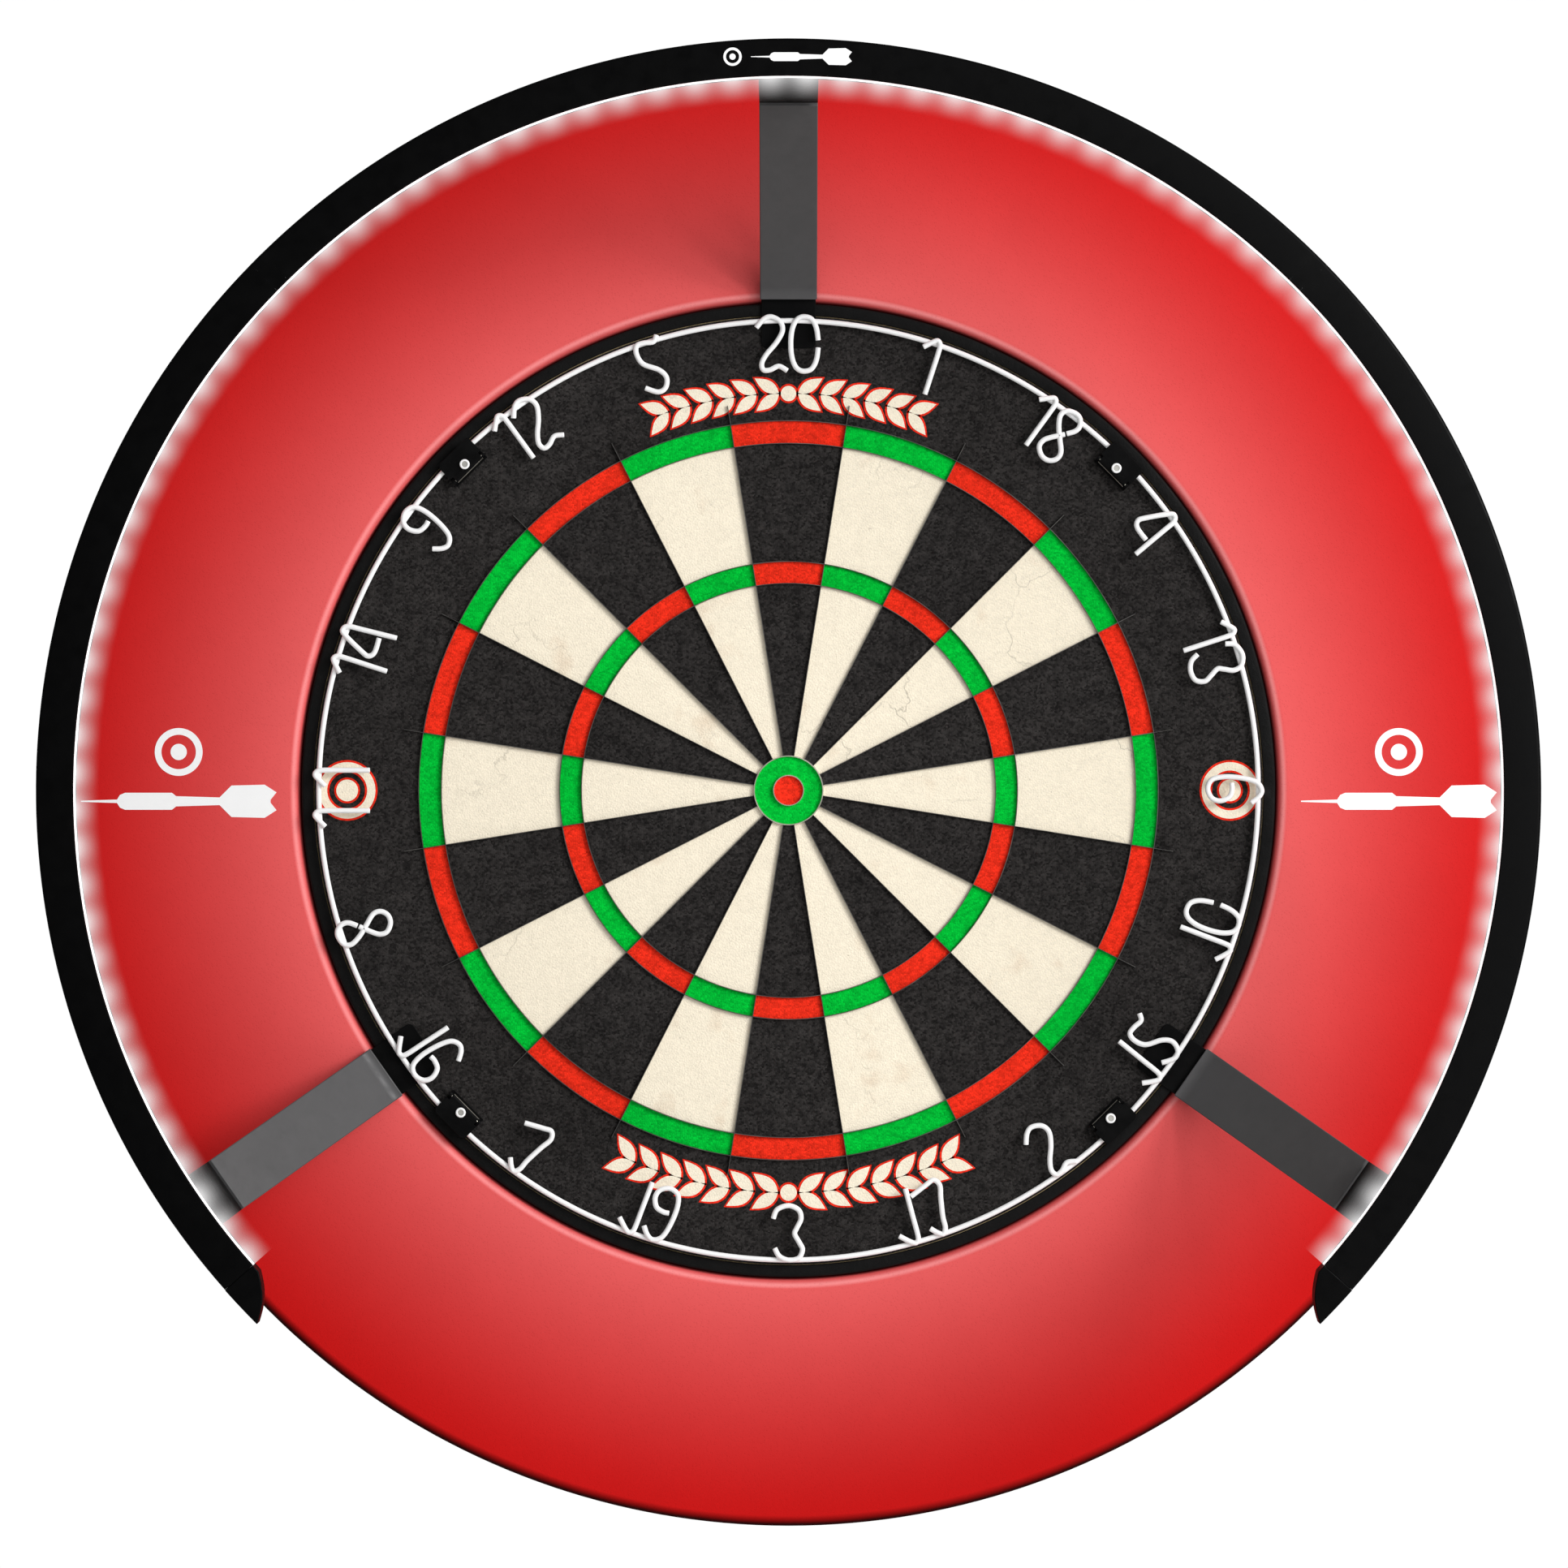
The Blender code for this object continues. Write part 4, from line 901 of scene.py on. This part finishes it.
# %% [markdown]
# ## The clips
# Four black clips hold the ring down. A base plate lies under the hoop with two ears, a bright pin runs
# through them, and the flap curls round the pin and reaches over the hoop. Bright steel along the front of
# the curl is a painted highlight. A white stud is the finger grip; the grey of its steel core also paints the
# shade in the head's shallow recess.
# The base and the pin belong to the board, the flap and the stud to their own body.

# %% Clips
CLIP_ANGLES = (44.5, 134.8, 224.5, 314.5)
PIN_RADIUS_OUT = 208.6
STUD_RADIUS_OUT = 211.0
BASE_END = 219.0
FLAP_REACH = 10.6
FLAP_CORNER = 1.5
CLIP_HALF = 9.7
EAR = 1.3
CURL_OUT, CURL_IN = 1.6, 0.9


def make_clip(number, degrees):
    pin_low, pin_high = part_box(f"clip_pin_{number}")
    pin_depth = -(pin_low.y + pin_high.y) / 2 / MM
    inner = PIN_RADIUS_OUT - 2.4
    base_back = back_of(f"clip_base_{number}")
    outline = [(inner, -CLIP_HALF), (BASE_END, -CLIP_HALF), (BASE_END, CLIP_HALF), (inner, CLIP_HALF)]
    base = slab(outline, base_back, base_back + 1.0, degrees)
    for side in (-1, 1):
        low, high = sorted((side * CLIP_HALF, side * (CLIP_HALF - EAR)))
        ear = [(PIN_RADIUS_OUT - CURL_OUT, base_back + 0.7), (PIN_RADIUS_OUT + CURL_OUT, base_back + 0.7)]
        ear += arc((PIN_RADIUS_OUT, pin_depth - 0.4), CURL_OUT, 0, 180, 8)
        slab(ear, low, high, degrees, "side", base)
    put(f"clip_{number}_base_plate", base, "board", BLACK_STEEL, [f"clip_base_{number}"],
        bevel=0.15)
    pin = bmesh.new()
    tube = arc((PIN_RADIUS_OUT, pin_depth), 0.5, 0, 330, 11)
    slab(tube, -CLIP_HALF, CLIP_HALF, degrees, "side", pin)
    put(f"clip_{number}_hinge_pin", pin, "board", BRIGHT_STEEL, [f"clip_pin_{number}"],
        bevel=0.12)

    seam = PIN_RADIUS_OUT + 2.0
    curl = [(seam, pin_depth + CURL_OUT)]
    curl += arc((PIN_RADIUS_OUT, pin_depth), CURL_OUT, 90, 320, 18)
    curl += arc((PIN_RADIUS_OUT, pin_depth), CURL_IN, 320, 90, 18)
    curl += [(seam, pin_depth + CURL_IN)]
    flap = slab(curl, -CLIP_HALF + 1.6, CLIP_HALF - 1.6, degrees, "side")
    out = turned_to(degrees) @ Vector((1.0, 0.0, 0.0))
    # Painted highlight: the curl's front faces get bright steel, making a bright line along the inner edge.
    for face in flap.faces:
        centre = face.calc_center_median() / MM
        inward = PIN_RADIUS_OUT - centre.dot(out)
        if inward > 1.32 and -centre.y > pin_depth + 0.3 and abs(face.normal.dot(out)) < 0.97:
            face.material_index = 1
    reach = PIN_RADIUS_OUT + FLAP_REACH
    plate = [(seam + 0.01, CLIP_HALF), (seam + 0.01, -CLIP_HALF), (reach - FLAP_CORNER, -CLIP_HALF)]
    plate += [(reach, -CLIP_HALF + FLAP_CORNER), (reach, CLIP_HALF - FLAP_CORNER)]
    plate.append((reach - FLAP_CORNER, CLIP_HALF))
    slab(plate, pin_depth + CURL_IN, pin_depth + CURL_OUT, degrees, "front", flap)
    body = f"clip_{number}"
    put(f"clip_{number}_flap_plate", flap, body, [BLACK_STEEL, BRIGHT_STEEL], [f"clip_flap_{number}"],
        bevel=0.08)
    top = pin_depth + CURL_OUT
    head = [(0.0, top - 1.2), (0.9, top - 1.2), (0.9, top + 0.3), (2.3, top + 0.3)]
    head += arc((1.8, top + 0.9), 0.5, 0, 90, 4) + [(1.5, top + 1.4), (1.35, top + 1.0), (0.0, top + 1.0)]
    stud = turned(head, 32, centre=place(STUD_RADIUS_OUT, degrees, 0.0))
    # The steel core's grey also paints the shade in the head's shallow recess.
    for face in stud.faces:
        span = face.calc_center_median() / MM - place(STUD_RADIUS_OUT, degrees, 0.0) / MM
        if math.hypot(span.x, span.z) < 1.3 and -span.y > top + 0.8:
            face.material_index = 1
    put(f"clip_{number}_white_stud", stud, body, [WHITE_INK, ZINC], [f"clip_stud_{number}"])


for number, degrees in enumerate(CLIP_ANGLES, 1):
    make_clip(number, degrees)
print("four clips, each base, pin, flap and stud")

# %% [markdown]
# ## The foam surround
# The surround is a thick ring that stretches over the band. Both front edges are rounded: a tight round
# where it meets the board and a full soft one outside. It gives when a dart hits it.

# %% Foam surround
def make_surround():
    inner = SURROUND - 114.5
    back = back_of("foam_surround")
    lip, shoulder, cut = 5.6, 5.0, 4.0
    outline = [(inner, back + 1.5), (inner + 1.5, back), (SURROUND - cut, back)]
    outline += arc((SURROUND - cut, back + cut), cut, 270, 360, 6)[1:]
    outline += arc((SURROUND - shoulder, FACE - shoulder), shoulder, 0, 90, 14)
    for share in (0.8, 0.6, 0.4, 0.2):
        outline.append((inner + lip + (SURROUND - shoulder - inner - lip) * share, FACE))
    outline += arc((inner + lip, FACE - lip), lip, 90, 180, 10)
    piece = put("surround_foam", turned(outline, 288), "surround", RED_FOAM, ["foam_surround"],
                sharp=50)
    print(f"surround bore {inner:.1f} mm radius")


make_surround()

# %% [markdown]
# ## The light's arms
# Each arm is a thin black tongue that slips under the number ring, a grey metal strip that leans out over
# the foam, and a black leg that stands up to the light. A magnet on the leg's pad meets a steel keeper
# plate on the back of the ring. Strips are drawn from the side as a bent line with a thickness.

# %% Strips, legs, tongues and magnets
ARMS = {"top": 90, "left": 215, "right": 325}
STRIP_START, STRIP_END = 225.5, 307.5


def bent_band(line, thickness):
    """Outline of a strip of constant thickness along a bent line in (radius, depth)."""
    left, right = [], []
    for k, spot in enumerate(line):
        spot = Vector(spot)
        before, after = Vector(line[max(k - 1, 0)]), Vector(line[min(k + 1, len(line) - 1)])
        along = (after - before).normalized()
        normal = Vector((-along.y, along.x))
        left.append(tuple(spot + normal * thickness / 2))
        right.append(tuple(spot - normal * thickness / 2))
    return left + right[::-1]


def eased(points, pieces):
    """A smooth line through (radius, depth) points."""
    return [(spot.x, spot.y) for spot in smooth_path([(a, b, 0.0) for a, b in points], pieces)]


def make_arm(name, degrees):
    body = f"{name}_arm"
    back, front = back_of(f"{name}_arm_tongue"), front_of(f"{name}_arm_tongue")
    half, corner, inner, end = 12.5, 2.5, 203.4, STRIP_START + 9.0
    outline = [(end, -half), (end, half)]
    outline += arc((inner + corner, half - corner), corner, 90, 180, 6)
    outline += arc((inner + corner, -half + corner), corner, 180, 270, 6)
    put(f"{name}_tongue", slab(outline, back, front, degrees), body, BLACK_STEEL, [f"{name}_arm_tongue"],
        bevel=0.2)

    rise = front_of(f"{name}_arm_strip")
    tip = (STRIP_END, rise - 1.1)
    line = [(STRIP_START, FACE + 3.1), (STRIP_START + 2.5, FACE + 3.3)]
    line += eased([(STRIP_START + 5.0, FACE + 4.4), (STRIP_START + 9.5, FACE + 8.8)], 3) + [tip]
    strip = slab(bent_band(line, 3.0), -13.1, 13.1, degrees, "side")
    put(f"{name}_strip", strip, body, GREY_METAL, [f"{name}_arm_strip"], bevel=0.5, steps=3)

    foot = back_of(f"{name}_arm_leg")
    leg_line = eased([(308.7, foot + 0.3), (312.2, FACE + 122.0), (314.0, FACE + 129.0), (319.0, FACE + 132.4),
                      (328.0, FACE + 132.5)], 5)
    leg = slab(bent_band(leg_line, 3.0), -13.1, 13.1, degrees, "side")
    put(f"{name}_leg", leg, body, BLACK_PLASTIC, [f"{name}_arm_leg"], bevel=0.5, steps=3)

    low, high = back_of(f"{name}_arm_magnet"), front_of(f"{name}_arm_magnet")
    disc = [(0.0, low), (5.6, low), (6.0, low + 0.4), (6.0, high - 0.4), (5.6, high), (0.0, high)]
    put(f"{name}_disc_magnet", turned(disc, 40, centre=place(320.5, degrees, 0.0)), body, MAGNET,
        [f"{name}_arm_magnet"])

    low, high = back_of(f"{name}_keeper_plate"), front_of(f"{name}_keeper_plate")
    keeper = slab([(314.0, -13.0), (327.0, -13.0), (327.0, 13.0), (314.0, 13.0)], low, high, degrees)
    put(f"{name}_keeper", keeper, "light", ZINC, [f"{name}_keeper_plate"], bevel=0.2)


for name, degrees in ARMS.items():
    make_arm(name, degrees)
print("arms at", sorted(ARMS.values()), "degrees")

# %% [markdown]
# ## The ring light
# Three quarter-turn channels carry the light, joined by short sleeves at 45 and 135 degrees and closed by
# end caps cut almost upright. The diode strip lies on the channel's outer wall. The diffuser snaps between
# the channel's flanges.

# %% Channels, sleeves and diode strips
END = 41.5
SEAM = 0.6
PRINT = 0.12


def channel(inner, outer, back, front, wall, corner):
    """Outline of a channel that is open towards the bull, with rounded outer corners."""
    points = [(inner, back + wall), (inner, back + 0.4), (inner + 0.4, back)]
    points += arc((outer - corner, back + corner), corner, 270, 360, 5)
    points += arc((outer - corner, front - corner), corner, 0, 90, 5)
    points += [(inner + 0.4, front), (inner, front - 0.4), (inner, front - wall)]
    points += [(outer - wall, front - wall), (outer - wall, back + wall)]
    return points


def make_channels():
    section = channel(LIGHT_INNER, LIGHT_OUTER, LIGHT_BACK, LIGHT_FRONT - PRINT, 1.5, 1.6)
    spans = {"right": (-END, 45 - SEAM), "top": (45 + SEAM, 135 - SEAM), "left": (135 + SEAM, 180 + END)}
    for name, span in spans.items():
        put(f"{name}_channel", turned(section, 80, span), "light", BLACK_PLASTIC, [f"light_housing_{name}"])
        strip = [(LIGHT_OUTER - 3.0, LIGHT_BACK + 2.5), (LIGHT_OUTER - 2.0, LIGHT_BACK + 2.5),
                 (LIGHT_OUTER - 2.0, LIGHT_FRONT - 2.5), (LIGHT_OUTER - 3.0, LIGHT_FRONT - 2.5)]
        work = turned(strip, 80, span)
        low = math.ceil((span[0] - DIODE_START) / DIODE_PITCH)
        high = math.floor((span[1] - DIODE_START) / DIODE_PITCH)
        middle = (LIGHT_BACK + LIGHT_FRONT) / 2
        for count in range(low, high + 1):
            diode = [(LIGHT_OUTER - 4.4, -2.5), (LIGHT_OUTER - 2.9, -2.5), (LIGHT_OUTER - 2.9, 2.5),
                     (LIGHT_OUTER - 4.4, 2.5)]
            slab(diode, middle - 2.5, middle + 2.5, DIODE_START + DIODE_PITCH * count, "front", work)
        put(f"{name}_diode_strip", work, "light", CIRCUIT, [f"led_strip_{name}"])
    for name, degrees in (("right", 45), ("left", 135)):
        sleeve = turned(section, 3, (degrees - SEAM + 0.002, degrees + SEAM - 0.002))
        put(f"{name}_sleeve", sleeve, "light", BLACK_PLASTIC, [f"light_joiner_{name}"])


make_channels()
print("channels span", 180 + 2 * END, "degrees")

# %% [markdown]
# The diffuser band and its lip are one moulding with two looks, so each face is given the band's or the
# lip's finish by its radius.

# %% Diffusers
def make_diffusers():
    low, high = back_of("light_diffuser_top"), front_of("light_diffuser_top")
    inner = LIGHT_INNER - LIP_REACH
    band = LIGHT_INNER + 0.3
    spans = {"right": (-END, 44.998), "top": (45.002, 134.998), "left": (135.002, 180 + END)}
    for name, span in spans.items():
        outline = [(inner, low + 0.3), (inner + 0.3, low), (band, low), (LIGHT_INNER + 1.8, low)]
        outline += [(LIGHT_INNER + 1.8, high), (band, high), (band, low + 1.0)]
        outline += [(inner + 0.3, low + 1.0), (inner, low + 0.7)]
        work = turned(outline, 120, span)
        for face in work.faces:
            centre = face.calc_center_median() / MM
            face.material_index = 1 if math.hypot(centre.x, centre.z) < band - 0.05 else 0
        put(f"{name}_diffuser", work, "light", [GLOW_BAND, PAINTED_LIP_GLOW], [f"light_diffuser_{name}"])


make_diffusers()
print(f"lip from {LIGHT_INNER - LIP_REACH:.1f} to {LIGHT_INNER:.1f} mm")

# %% [markdown]
# The end caps finish the ring. Their ends aren't square to the ring: the cut is nearly upright, with a soft
# bulge, so the outer edge runs further down than the inner one. The power socket stands on the back.

# %% End caps and power socket
def below(radius, degrees):
    """A point at a radius and an angle below the right-hand side, as (x, z)."""
    return (radius * math.cos(math.radians(degrees)), -radius * math.sin(math.radians(degrees)))


def make_end_cap(name, side):
    start, inner_end, outer_end = END + 0.004, 42.2, 45.1
    outline = [below(LIGHT_OUTER, start + (outer_end - start) * k / 6) for k in range(7)]
    low_point = outline[-1]
    high_point = below(LIGHT_INNER, inner_end)
    for k in range(1, 8):
        t = k / 8
        bulge = -2.0 * math.sin(math.pi * t)
        outline.append((low_point[0] + (high_point[0] - low_point[0]) * t + bulge,
                        low_point[1] + (high_point[1] - low_point[1]) * t))
    outline.append(high_point)
    outline.append(below(LIGHT_INNER, start))
    outline = [(side * x, z) for x, z in outline]
    put(f"{name}_end_cap", slab(outline, LIGHT_BACK, LIGHT_FRONT - PRINT), "light", BLACK_PLASTIC,
        [f"light_end_cap_{name}"], bevel=0.5, steps=3)


def make_socket():
    low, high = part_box("power_inlet")
    centre = Vector(((low.x + high.x) / 2, 0.0, (low.z + high.z) / 2))
    tail, base = back_of("power_inlet"), front_of("power_inlet")
    outline = [(3.2, tail + 0.3), (3.5, tail), (4.5, tail), (4.8, tail + 0.3), (4.8, base), (0.0, base),
               (0.0, base - 1.6), (3.2, base - 1.6)]
    put("power_socket", turned(outline, 40, centre=centre), "light", BLACK_PLASTIC, ["power_inlet"])


make_end_cap("right", 1)
make_end_cap("left", -1)
make_socket()
print("ring light complete")

# %% [markdown]
# ## Hanging hardware
# Out of sight behind the board, a pressed bracket is screwed to the wall, and the board's central screw
# drops into its slot. Three rubber feet keep the board level. The bracket is kept as the frame made it,
# with a zinc-plated finish. The screws get rounded heads.

# %% Bracket, screws and feet
def dress(node, finish):
    """Give a frame node a finish without touching its shape."""
    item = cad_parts[node]
    item.data.materials.clear()
    item.data.materials.append(finish)


def make_wall_screw(name):
    low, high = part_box(f"wall_screw_{name}")
    centre = Vector(((low.x + high.x) / 2, 0.0, (low.z + high.z) / 2))
    tip, top = back_of(f"wall_screw_{name}"), front_of(f"wall_screw_{name}")
    under = top - 2.6
    outline = [(0.0, tip)]
    depth = tip + 3.0
    while depth < -1.0:
        outline += [(1.45, depth), (1.9, depth + 0.6)]
        depth += 1.3
    outline += [(1.6, 0.0), (1.6, under), (4.0, under), (4.0, under + 0.7)]
    outline += arc((1.6, under + 0.4), 2.2, 10, 80, 5) + [(0.0, top)]
    put(f"{name}_wall_screw", turned(outline, 28, centre=centre), "wall_mount", ZINC,
        [f"wall_screw_{name}"])


def make_hanging_screw():
    head, tip = back_of("hanging_screw"), front_of("hanging_screw")
    neck = head + 2.9
    outline = [(0.0, head), (4.4, head), (5.6, head + 0.5), (6.0, head + 1.2), (6.0, neck), (2.5, neck)]
    outline += [(2.5, tip - 0.5), (2.0, tip), (0.0, tip)]
    put("hanger_screw", turned(outline, 40), "board", ZINC, ["hanging_screw"])


def make_foot(number):
    low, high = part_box(f"spacer_foot_{number}")
    centre = Vector(((low.x + high.x) / 2, 0.0, (low.z + high.z) / 2))
    back, front = back_of(f"spacer_foot_{number}"), front_of(f"spacer_foot_{number}")
    outline = [(0.0, back + 0.2), (7.2, back + 0.2), (7.6, back)] + arc((7.8, back + 1.2), 1.2, 280, 360, 4)
    outline += [(9.0, front), (0.0, front)]
    put(f"rubber_foot_{number}", turned(outline, 40, centre=centre), "board", RUBBER,
        [f"spacer_foot_{number}"])


dress("wall_bracket", ZINC)
for name in ("left", "right"):
    make_wall_screw(name)
make_hanging_screw()
for number in (1, 2, 3):
    make_foot(number)
print("bracket, two wall screws, hanging screw and three feet")

# %% [markdown]
# ## Printed ornaments
# A bare board would look unfinished, so plain ornaments take the places where a maker prints a badge. Two
# laurel sprays of cream leaves, outlined in red, follow arcs on the sisal. Roundels stand left and right of
# the bull. A dart under a target decorates the foam, and a small one the light. They are thin layers of
# ink, about a tenth of a millimetre proud, and say nothing.

# %% Ink shapes
INK, UNDERLAY, OUTLINE = 0.14, 0.07, 0.95


def leaf(length, width, steps=8):
    """A pointed leaf as (along, across) points round its middle."""
    upper, lower = [], []
    for k in range(1, steps):
        t = k / steps
        along = length * (t - 0.5)
        swell = width / 2 * math.sin(math.pi * t ** 0.85)
        upper.append((along, swell))
        lower.append((along, -swell))
    return [(-length / 2, 0.0)] + lower + [(length / 2, 0.0)] + upper[::-1]


def laid(outline, turn, radius, degrees):
    """Turn an outline by an angle and place it at a radius and angle, as (x, z) points."""
    heading = math.radians(degrees + turn)
    middle = Vector((math.cos(math.radians(degrees)), math.sin(math.radians(degrees)))) * radius
    along = Vector((math.cos(heading), math.sin(heading)))
    across = Vector((-math.sin(heading), math.cos(heading)))
    return [tuple(middle + along * a + across * b) for a, b in outline]


def disc(work, size, x, z, low, high):
    """Print a round dot."""
    outline = [(0.0, low), (size, low), (size, high), (0.0, high)]
    turned(outline, 44, work=work, centre=Vector((x, 0.0, z)) * MM)


def hoop(work, inner, outer, x, z, low, high):
    """Print a ring."""
    outline = [(inner, low), (outer, low), (outer, high), (inner, high)]
    turned(outline, 64, work=work, centre=Vector((x, 0.0, z)) * MM)


def print_spray(name, middle, half_span, radius, length, pairs):
    """A laurel spray along an arc: leaves lean away from a dot in the middle, in two rows on a stem."""
    cream, red = bmesh.new(), bmesh.new()
    for work, grow, high in ((cream, 0.0, INK), (red, OUTLINE, UNDERLAY)):
        x, z = radius * math.cos(math.radians(middle)), radius * math.sin(math.radians(middle))
        disc(work, length * 0.27 + grow, x, z, FACE + 0.02, FACE + high)
        for side in (-1, 1):
            for k in range(pairs):
                degrees = middle + side * half_span * (k + 0.95) / pairs
                for row in (-1, 1):
                    turn = side * 90 - side * row * 34
                    shape = leaf(length + 2.6 * grow, length * 0.42 + 2 * grow)
                    spot = laid(shape, turn, radius + row * length * 0.30, degrees)
                    slab([(a, b) for a, b in spot], FACE + 0.02, FACE + high, 0.0, "front", work)
    put(f"{name}_cream_ink", cream, "board", SISAL_CREAM)
    put(f"{name}_red_ink", red, "board", SISAL_RED)


def print_roundel(name, degrees):
    """A cream target with a red outline, between the bull and the number ring."""
    cream, red = bmesh.new(), bmesh.new()
    x, z = 203.0 * math.cos(math.radians(degrees)), 203.0 * math.sin(math.radians(degrees))
    for work, grow, high in ((cream, 0.0, INK), (red, OUTLINE, UNDERLAY)):
        hoop(work, 9.2 - grow, 13.0 + grow, x, z, FACE + 0.02, FACE + high)
        disc(work, 5.0 + grow, x, z, FACE + 0.02, FACE + high)
    put(f"{name}_cream_ink", cream, "board", SISAL_CREAM)
    put(f"{name}_red_ink", red, "board", SISAL_RED)


print_spray("upper_spray", 90, 19.5, 182.5, 13.0, 6)
print_spray("lower_spray", 270, 24.5, 185.0, 14.0, 7)
print_roundel("left_roundel", 180)
print_roundel("right_roundel", 0)
print("two laurel sprays and two roundels on the sisal")

# %% Darts and targets on the foam and the light
def print_dart(work, x, z, length, depth):
    """A level dart seen from the side: point, barrel, shaft and flight."""
    unit = length / 46.0
    half = [(-23.0, 0.14), (-14.5, 0.40), (-13.8, 1.5), (-12.6, 2.0), (-1.6, 2.0), (-0.6, 1.2), (9.6, 0.9),
            (12.4, 3.7), (20.2, 3.9), (23.0, 2.1), (21.6, 0.35)]
    outline = half + [(a, -b) for a, b in half[::-1]]
    slab([(x + a * unit, z + b * unit) for a, b in outline], depth, depth + INK, 0.0, "front", work)


def print_badge(name, body, x, z, depth, length, size, rise):
    """A dart under a target, or beside one, in white."""
    work = bmesh.new()
    dart_x = x if rise else x + size * 0.7
    print_dart(work, dart_x, z - rise, length, depth)
    target_x = x if rise else x - length / 2 - size * 0.3
    hoop(work, size * 0.36, size * 0.5, target_x, z + rise * 0.62, depth, depth + INK)
    disc(work, size * 0.17, target_x, z + rise * 0.62, depth, depth + INK)
    put(name, work, body, WHITE_INK)


print_badge("left_badge", "surround", -280.5, 9.0, FACE - 0.04, 90.0, 22.0, 14.0)
print_badge("right_badge", "surround", 280.7, 9.0, FACE - 0.04, 90.0, 22.0, 14.0)
print_badge("light_badge", "light", 0.0, (LIGHT_INNER + LIGHT_OUTER) / 2, LIGHT_FRONT - INK, 44.0, 8.0, 0.0)
print("badges on the foam and the light")

# %% [markdown]
# ## The studio
# The board hangs over a plain pale floor with nothing behind it but white. A smaller soft box at the upper
# right rakes over the face, so blades cast short soft shadows. A broad one nearer the front softens them.

# %% Floor, lights and white surroundings
def make_floor():
    work = bmesh.new()
    turned([(0.0, 0.0), (1500.0, 0.0), (1500.0, 6.0), (0.0, 6.0)], 96, work=work)
    lying = Matrix.Translation((0.0, 0.0, -0.62)) @ Matrix.Rotation(math.radians(-90), 4, "X")
    bmesh.ops.transform(work, matrix=lying, verts=work.verts)
    bmesh.ops.recalc_face_normals(work, faces=work.faces)
    mesh = bpy.data.meshes.new("studio_floor")
    work.to_mesh(mesh)
    work.free()
    floor = bpy.data.objects.new("studio_floor", mesh)
    bpy.context.scene.collection.objects.link(floor)
    finish, tree, shader = begin("studio_floor", 0.6)
    shade = use(tree, TONE, Color=(0.80, 0.80, 0.79, 1), Scale=2.0, Amount=0.02)["Color"]
    feed(tree, shader.inputs["Base Color"], shade)
    mesh.materials.append(finish)
    return floor


def soft_light(name, spot, aim, size, watts):
    """A square soft box at a place, turned to face a point."""
    data = bpy.data.lights.new(name, "AREA")
    data.shape, data.size, data.energy = "SQUARE", size, watts
    light = bpy.data.objects.new(name, data)
    light.location = spot
    light.rotation_mode = "QUATERNION"
    light.rotation_quaternion = (Vector(aim) - Vector(spot)).to_track_quat("-Z", "Y")
    light.visible_camera = False
    bpy.context.scene.collection.objects.link(light)


def white_world(seen, felt):
    """White all round: seen is its brightness in view, felt its strength as light."""
    world = bpy.data.worlds.new("white")
    bpy.context.scene.world = world
    world.use_nodes = True
    tree = world.node_tree
    tree.nodes.clear()
    ray = add(tree, "ShaderNodeLightPath").outputs["Is Camera Ray"]
    back = add(tree, "ShaderNodeBackground")
    back.inputs["Color"].default_value = (1.0, 1.0, 1.0, 1.0)
    feed(tree, back.inputs["Strength"], spread(tree, ray, 0.0, 1.0, felt, seen))
    feed(tree, add(tree, "ShaderNodeOutputWorld").inputs["Surface"], back.outputs[0])


make_floor()
soft_light("key", (1.43, -1.28, 0.67), (0.0, 0.0, 0.0), 0.8, 27.0)
soft_light("broad", (1.3, -1.9, 0.6), (0.0, 0.0, 0.0), 1.9, 20.0)
white_world(1.02, 0.30)
bpy.context.scene.view_settings.view_transform = "Standard"
print("two soft boxes and a white world")

# %% [markdown]
# ## The camera
# The view is almost straight on, from just under three metres in front of the face and a little above the
# bull. That is close enough for the ring light to look larger than the surround behind it. The frame's
# half width at the face sets the lens.

# %% Camera
DISTANCE = 2.92
HALF_VIEW = 0.3606
RISE = 0.007
lens_data = bpy.data.cameras.new("front_view")
lens_data.sensor_width = 36.0
lens_data.lens = 18.0 * DISTANCE / HALF_VIEW
lens_data.shift_x, lens_data.shift_y = -5.6 / 1932, 7.9 / 1932
lens_data.clip_start, lens_data.clip_end = 0.05, 50.0
camera = bpy.data.objects.new("front_view", lens_data)
camera.location = (0.0, -(FACE * MM + DISTANCE), RISE)
camera.rotation_euler = (math.radians(90) - math.atan2(RISE, DISTANCE), 0.0, 0.0)
bpy.context.scene.collection.objects.link(camera)
bpy.context.scene.camera = camera
print(f"lens {lens_data.lens:.1f} mm")
